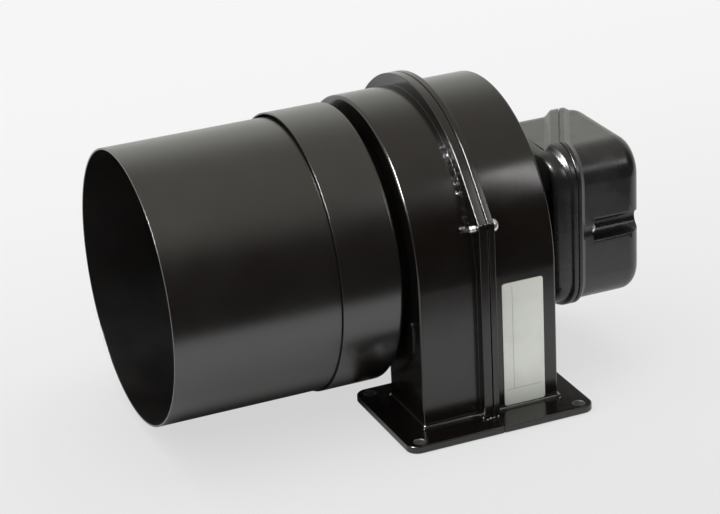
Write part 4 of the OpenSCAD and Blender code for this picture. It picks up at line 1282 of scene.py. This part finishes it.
class FAN_OT_screws(bpy.types.Operator):
    """Builds the plated screws that show on the housing, the inlet and the box"""

    bl_idname = "fan.screws"
    bl_label = "Screws"

    def execute(self, context):
        s, h = context.scene.fan_screws, context.scene.fan_housing
        seat = h.rear_lip + LUG_PROUD
        length = seat + h.front_lip + s.end
        lips = [(facing(seat, p.y, p.z, spin=20 + 35 * i), length)
                for i, p in enumerate([near_lug(h), *far_lugs(h)])]
        screw_group("lip_screws", "seam_screws", s, lips, "screw_tip", tall=1.3, tip=s.tip)

        pitch_r, length, seat = 58 * MM, 11.2 * MM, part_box("inlet_nozzle")[0].x
        inlet = [(facing(seat, y, z, True, 15 + 40 * i), length)
                 for i, (y, z) in enumerate(four_round(pitch_r))]
        screw_group("inlet_screws", "nozzle_screws", s, inlet)

        pitch_r, length, seat = 34 * MM, 6.5 * MM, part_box("motor_screws")[0].x + s.head_h
        flange = [(facing(seat, y, z, True, 25 * i), length)
                  for i, (y, z) in enumerate(four_round(pitch_r))]
        screw_group("flange_screws", "motor_screws", s, flange)

        low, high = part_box("cover_screws")
        near, far = seats(context.scene.fan_box).values()
        in_y, near_length, far_length = s.head_d / 2, 17 * MM, 18 * MM
        lid = [(facing(near, low.y + in_y, AXIS_Z, spin=30), near_length),
               (facing(far, high.y - in_y, AXIS_Z, spin=70), far_length)]
        screw_group("lid_screws", "cover_screws", s, lid)
        return {"FINISHED"}


# The rating plate

class FAN_OT_plate(bpy.types.Operator):
    """Builds the blank rating plate with its ruled lines"""

    bl_idname = "fan.plate"
    bl_label = "Rating plate"

    def execute(self, context):
        low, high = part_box("rating_plate")
        r, edge_r, line, ink, inset = 1.6 * MM, 0.12 * MM, 0.14 * MM, 0.03 * MM, 0.02 * MM
        face, y = low.y + inset, high.y
        x0, x1, z0, z1 = low.x + r, high.x - r, low.z + r, high.z - r
        moves = []
        for start, centre in (((x1, low.z), (x1, z0)), ((high.x, z1), (x1, z1)),
                              ((x0, high.z), (x0, z1)), ((low.x, z0), (x0, z0))):
            moves += [(start[0], y, start[1]), ((centre[0], y, centre[1]), -90, 6)]
        bm = bmesh.new()
        trace(bm, ACROSS, (x0, y, low.z), moves, closed=False)
        merged(bm)
        slab(bm, ACROSS, -(high.y - low.y - inset), edge_r, 2)
        width, height = high.x - low.x, high.z - low.z
        left, foot = low.x + 0.24 * width, low.z + 0.13 * height
        rules = ((left, left + line, foot, high.z - 0.03 * height),
                 (low.x + 0.06 * width, high.x - 0.06 * width, foot, foot + line))
        for x0, x1, z0, z1 in rules:
            bar = bmesh.new()
            middle = Matrix.Translation(((x0 + x1) / 2, face, (z0 + z1) / 2))
            bmesh.ops.create_cube(bar, size=1.0,
                                  matrix=middle @ Matrix.Diagonal((x1 - x0, ink, z1 - z0, 1)))
            for f in bar.faces:
                f.material_index = 1
            join(bm, bar)
        piece(bm, "blank_plate", "rating_plate", "label_silver", "rule_ink")
        return {"FINISHED"}


# The stage

def lamp(name, place, target, extent, power):
    data = bpy.data.lights.new(name, "AREA")
    data.shape, data.size, data.size_y, data.energy = "RECTANGLE", *extent, power
    obj = placed(name, data)
    obj.location = place
    obj.rotation_euler = (Vector(target) - Vector(place)).to_track_quat("-Z", "Y").to_euler()
    return obj


def floor_finish(s):
    """Pale floor that keeps a soft shadow and reads as the white ground of the photograph.

    The paint mirrors it dimly, and dark in front of the fan; under the tube the dark is a painted
    shadow of the tube that only reflections show."""
    made = Finish("floor_paper", Roughness=0.9)
    tree = made.tree
    place = object_place(tree)
    at = axes(tree, place)
    grain = ramp(tree, noise(tree, place, 30.0, 3.0), 0.3, 0.7, 0.985, 1.0)
    made.feed("Base Color", mixed(tree, grain, (0.78, 0.78, 0.78), tuple(s.floor)))
    depth = ramp(tree, at["Y"], -0.4, 0.8, 0.735, 0.905)
    grey = node(tree, "ShaderNodeCombineColor", {key: depth for key in ("Red", "Green", "Blue")})
    glow = node(tree, "ShaderNodeEmission", {"Color": grey.outputs["Color"]})
    dark = node(tree, "ShaderNodeEmission", {"Color": (0.03, 0.028, 0.026, 1)})
    paths = node(tree, "ShaderNodeLightPath").outputs
    glowing = maths(tree, "MAXIMUM", maths(tree, "MULTIPLY", paths["Is Camera Ray"], 0.78),
                    maths(tree, "MULTIPLY", paths["Is Glossy Ray"], 0.18))
    lit = node(tree, "ShaderNodeMixShader", {"Fac": glowing, 1: made.shader.outputs["BSDF"],
                                             2: glow.outputs["Emission"]})
    in_front = ramp(tree, at["Y"], -0.14, -0.21)
    # Painted shadow of the tube: beside the neck and under the tube, mirrored rays see the floor
    # dark
    beside_neck = maths(tree, "MULTIPLY", ramp(tree, at["X"], -0.035, -0.055),
                        ramp(tree, at["X"], -0.19, -0.16))
    tube_shadow_painted = maths(tree, "MULTIPLY", beside_neck, ramp(tree, at["Y"], 0.01, 0.04))
    unlit = maths(tree, "MULTIPLY", paths["Is Glossy Ray"],
                  maths(tree, "MAXIMUM", in_front, tube_shadow_painted))
    seen = node(tree, "ShaderNodeMixShader", {"Fac": unlit, 1: lit.outputs["Shader"],
                                              2: dark.outputs["Emission"]})
    plug(tree, seen.outputs["Shader"], tree.nodes["Material Output"].inputs["Surface"])
    return made.material


def studio_world(scene, s):
    """White round the camera's view, a dim room on the near side, a soft ceiling above."""
    world = bpy.data.worlds.new("studio")
    scene.world = world
    world.use_nodes = True
    tree = world.node_tree
    at = axes(tree, node(tree, "ShaderNodeTexCoord").outputs["Generated"])
    behind = ramp(tree, at["Y"], -0.25, 0.55)
    above = ramp(tree, at["Z"], 0.45, 0.9)
    ceiling = (0.50, 0.47, 0.42)
    near = mixed(tree, above, (0.030, 0.020, 0.014), ceiling)
    beyond = mixed(tree, above, (0.92, 0.93, 0.86), ceiling)
    paths = node(tree, "ShaderNodeLightPath").outputs
    even = mixed(tree, paths["Is Camera Ray"], (s.fill, s.fill, s.fill), (0.92, 0.92, 0.92))
    seen = mixed(tree, paths["Is Glossy Ray"], even, mixed(tree, behind, near, beyond))
    plug(tree, seen, tree.nodes["Background"].inputs["Color"])


class FAN_OT_stage(bpy.types.Operator):
    """Lays the floor, hangs the lamps and sets the camera of the photograph"""

    bl_idname = "fan.stage"
    bl_label = "Stage"

    def execute(self, context):
        scene, s = context.scene, context.scene.fan_stage
        bm = bmesh.new()
        bmesh.ops.create_circle(bm, cap_ends=True, segments=96, radius=9.0,
                                matrix=Matrix.Translation((0, 0, -0.2 * MM)))
        floor = placed("floor", meshed(bm, "floor"))
        floor.data.materials.append(floor_finish(s))
        studio_world(scene, s)
        top = lamp("top_lamp", (0.1, 0.35, 1.7), (0, 0.06, 0.08), (1.5, 1.1), s.top)
        top.visible_glossy = False
        for name, place, target, extent, power in (
                ("side_lamp", (0.222, -0.252, 0.402), (0.03, 0.0, 0.138), (0.05, 0.16), s.side),
                ("cover_lamp", (0.288, -0.276, 0.336), (0.104, 0.013, 0.125), (0.05, 0.07), s.cover),
                ("strip_lamp", (-1.11, -0.33, 1.24), (-0.04, 0.0, 0.15), (0.36, 0.95), s.strip)):
            shine = lamp(name, place, target, extent, power)
            shine.visible_diffuse = shine.visible_camera = False
        view = bpy.data.cameras.new("photo_camera")
        view.lens, view.sensor_width = 121.94, 36.0
        view.shift_x, view.shift_y = -0.00415, 0.0088
        view.clip_start, view.clip_end = 0.05, 50.0
        camera = placed("photo_camera", view)
        camera.location = (-0.5299, -1.1442, 0.6380)
        camera.rotation_euler = [math.radians(a) for a in (66.55, 2.74, -23.33)]
        scene.camera = camera
        scene.view_settings.view_transform = "Standard"
        return {"FINISHED"}


class FAN_PT_panel(bpy.types.Panel):
    """Lists the steps that build the fan's looks"""

    bl_label = "Combustion fan"
    bl_idname = "FAN_PT_panel"
    bl_space_type = "VIEW_3D"
    bl_region_type = "UI"
    bl_category = "Fan"

    def draw(self, context):
        for step in STEPS:
            self.layout.operator(step.bl_idname)


GROUPS = {"fan_housing": FanHousingSizes, "fan_inlet": FanInletSizes, "fan_box": FanBoxSizes,
          "fan_screws": FanScrewSizes, "fan_finishes": FanFinishes, "fan_stage": FanStageLevels}
STEPS = (FAN_OT_finishes, FAN_OT_housing, FAN_OT_inlet, FAN_OT_rotor, FAN_OT_terminal_box,
         FAN_OT_screws, FAN_OT_plate, FAN_OT_stage)


def register():
    for cls in (*GROUPS.values(), *STEPS, FAN_PT_panel):
        bpy.utils.register_class(cls)
    for name, cls in GROUPS.items():
        setattr(bpy.types.Scene, name, PointerProperty(type=cls))


def unregister():
    for name in GROUPS:
        delattr(bpy.types.Scene, name)
    for cls in reversed((*GROUPS.values(), *STEPS, FAN_PT_panel)):
        bpy.utils.unregister_class(cls)


def main():
    register()
    bpy.ops.fan.finishes()
    bpy.ops.fan.housing()
    bpy.ops.fan.inlet()
    bpy.ops.fan.rotor()
    bpy.ops.fan.terminal_box()
    bpy.ops.fan.screws()
    bpy.ops.fan.plate()
    bpy.ops.fan.stage()


if __name__ == "__main__":
    main()
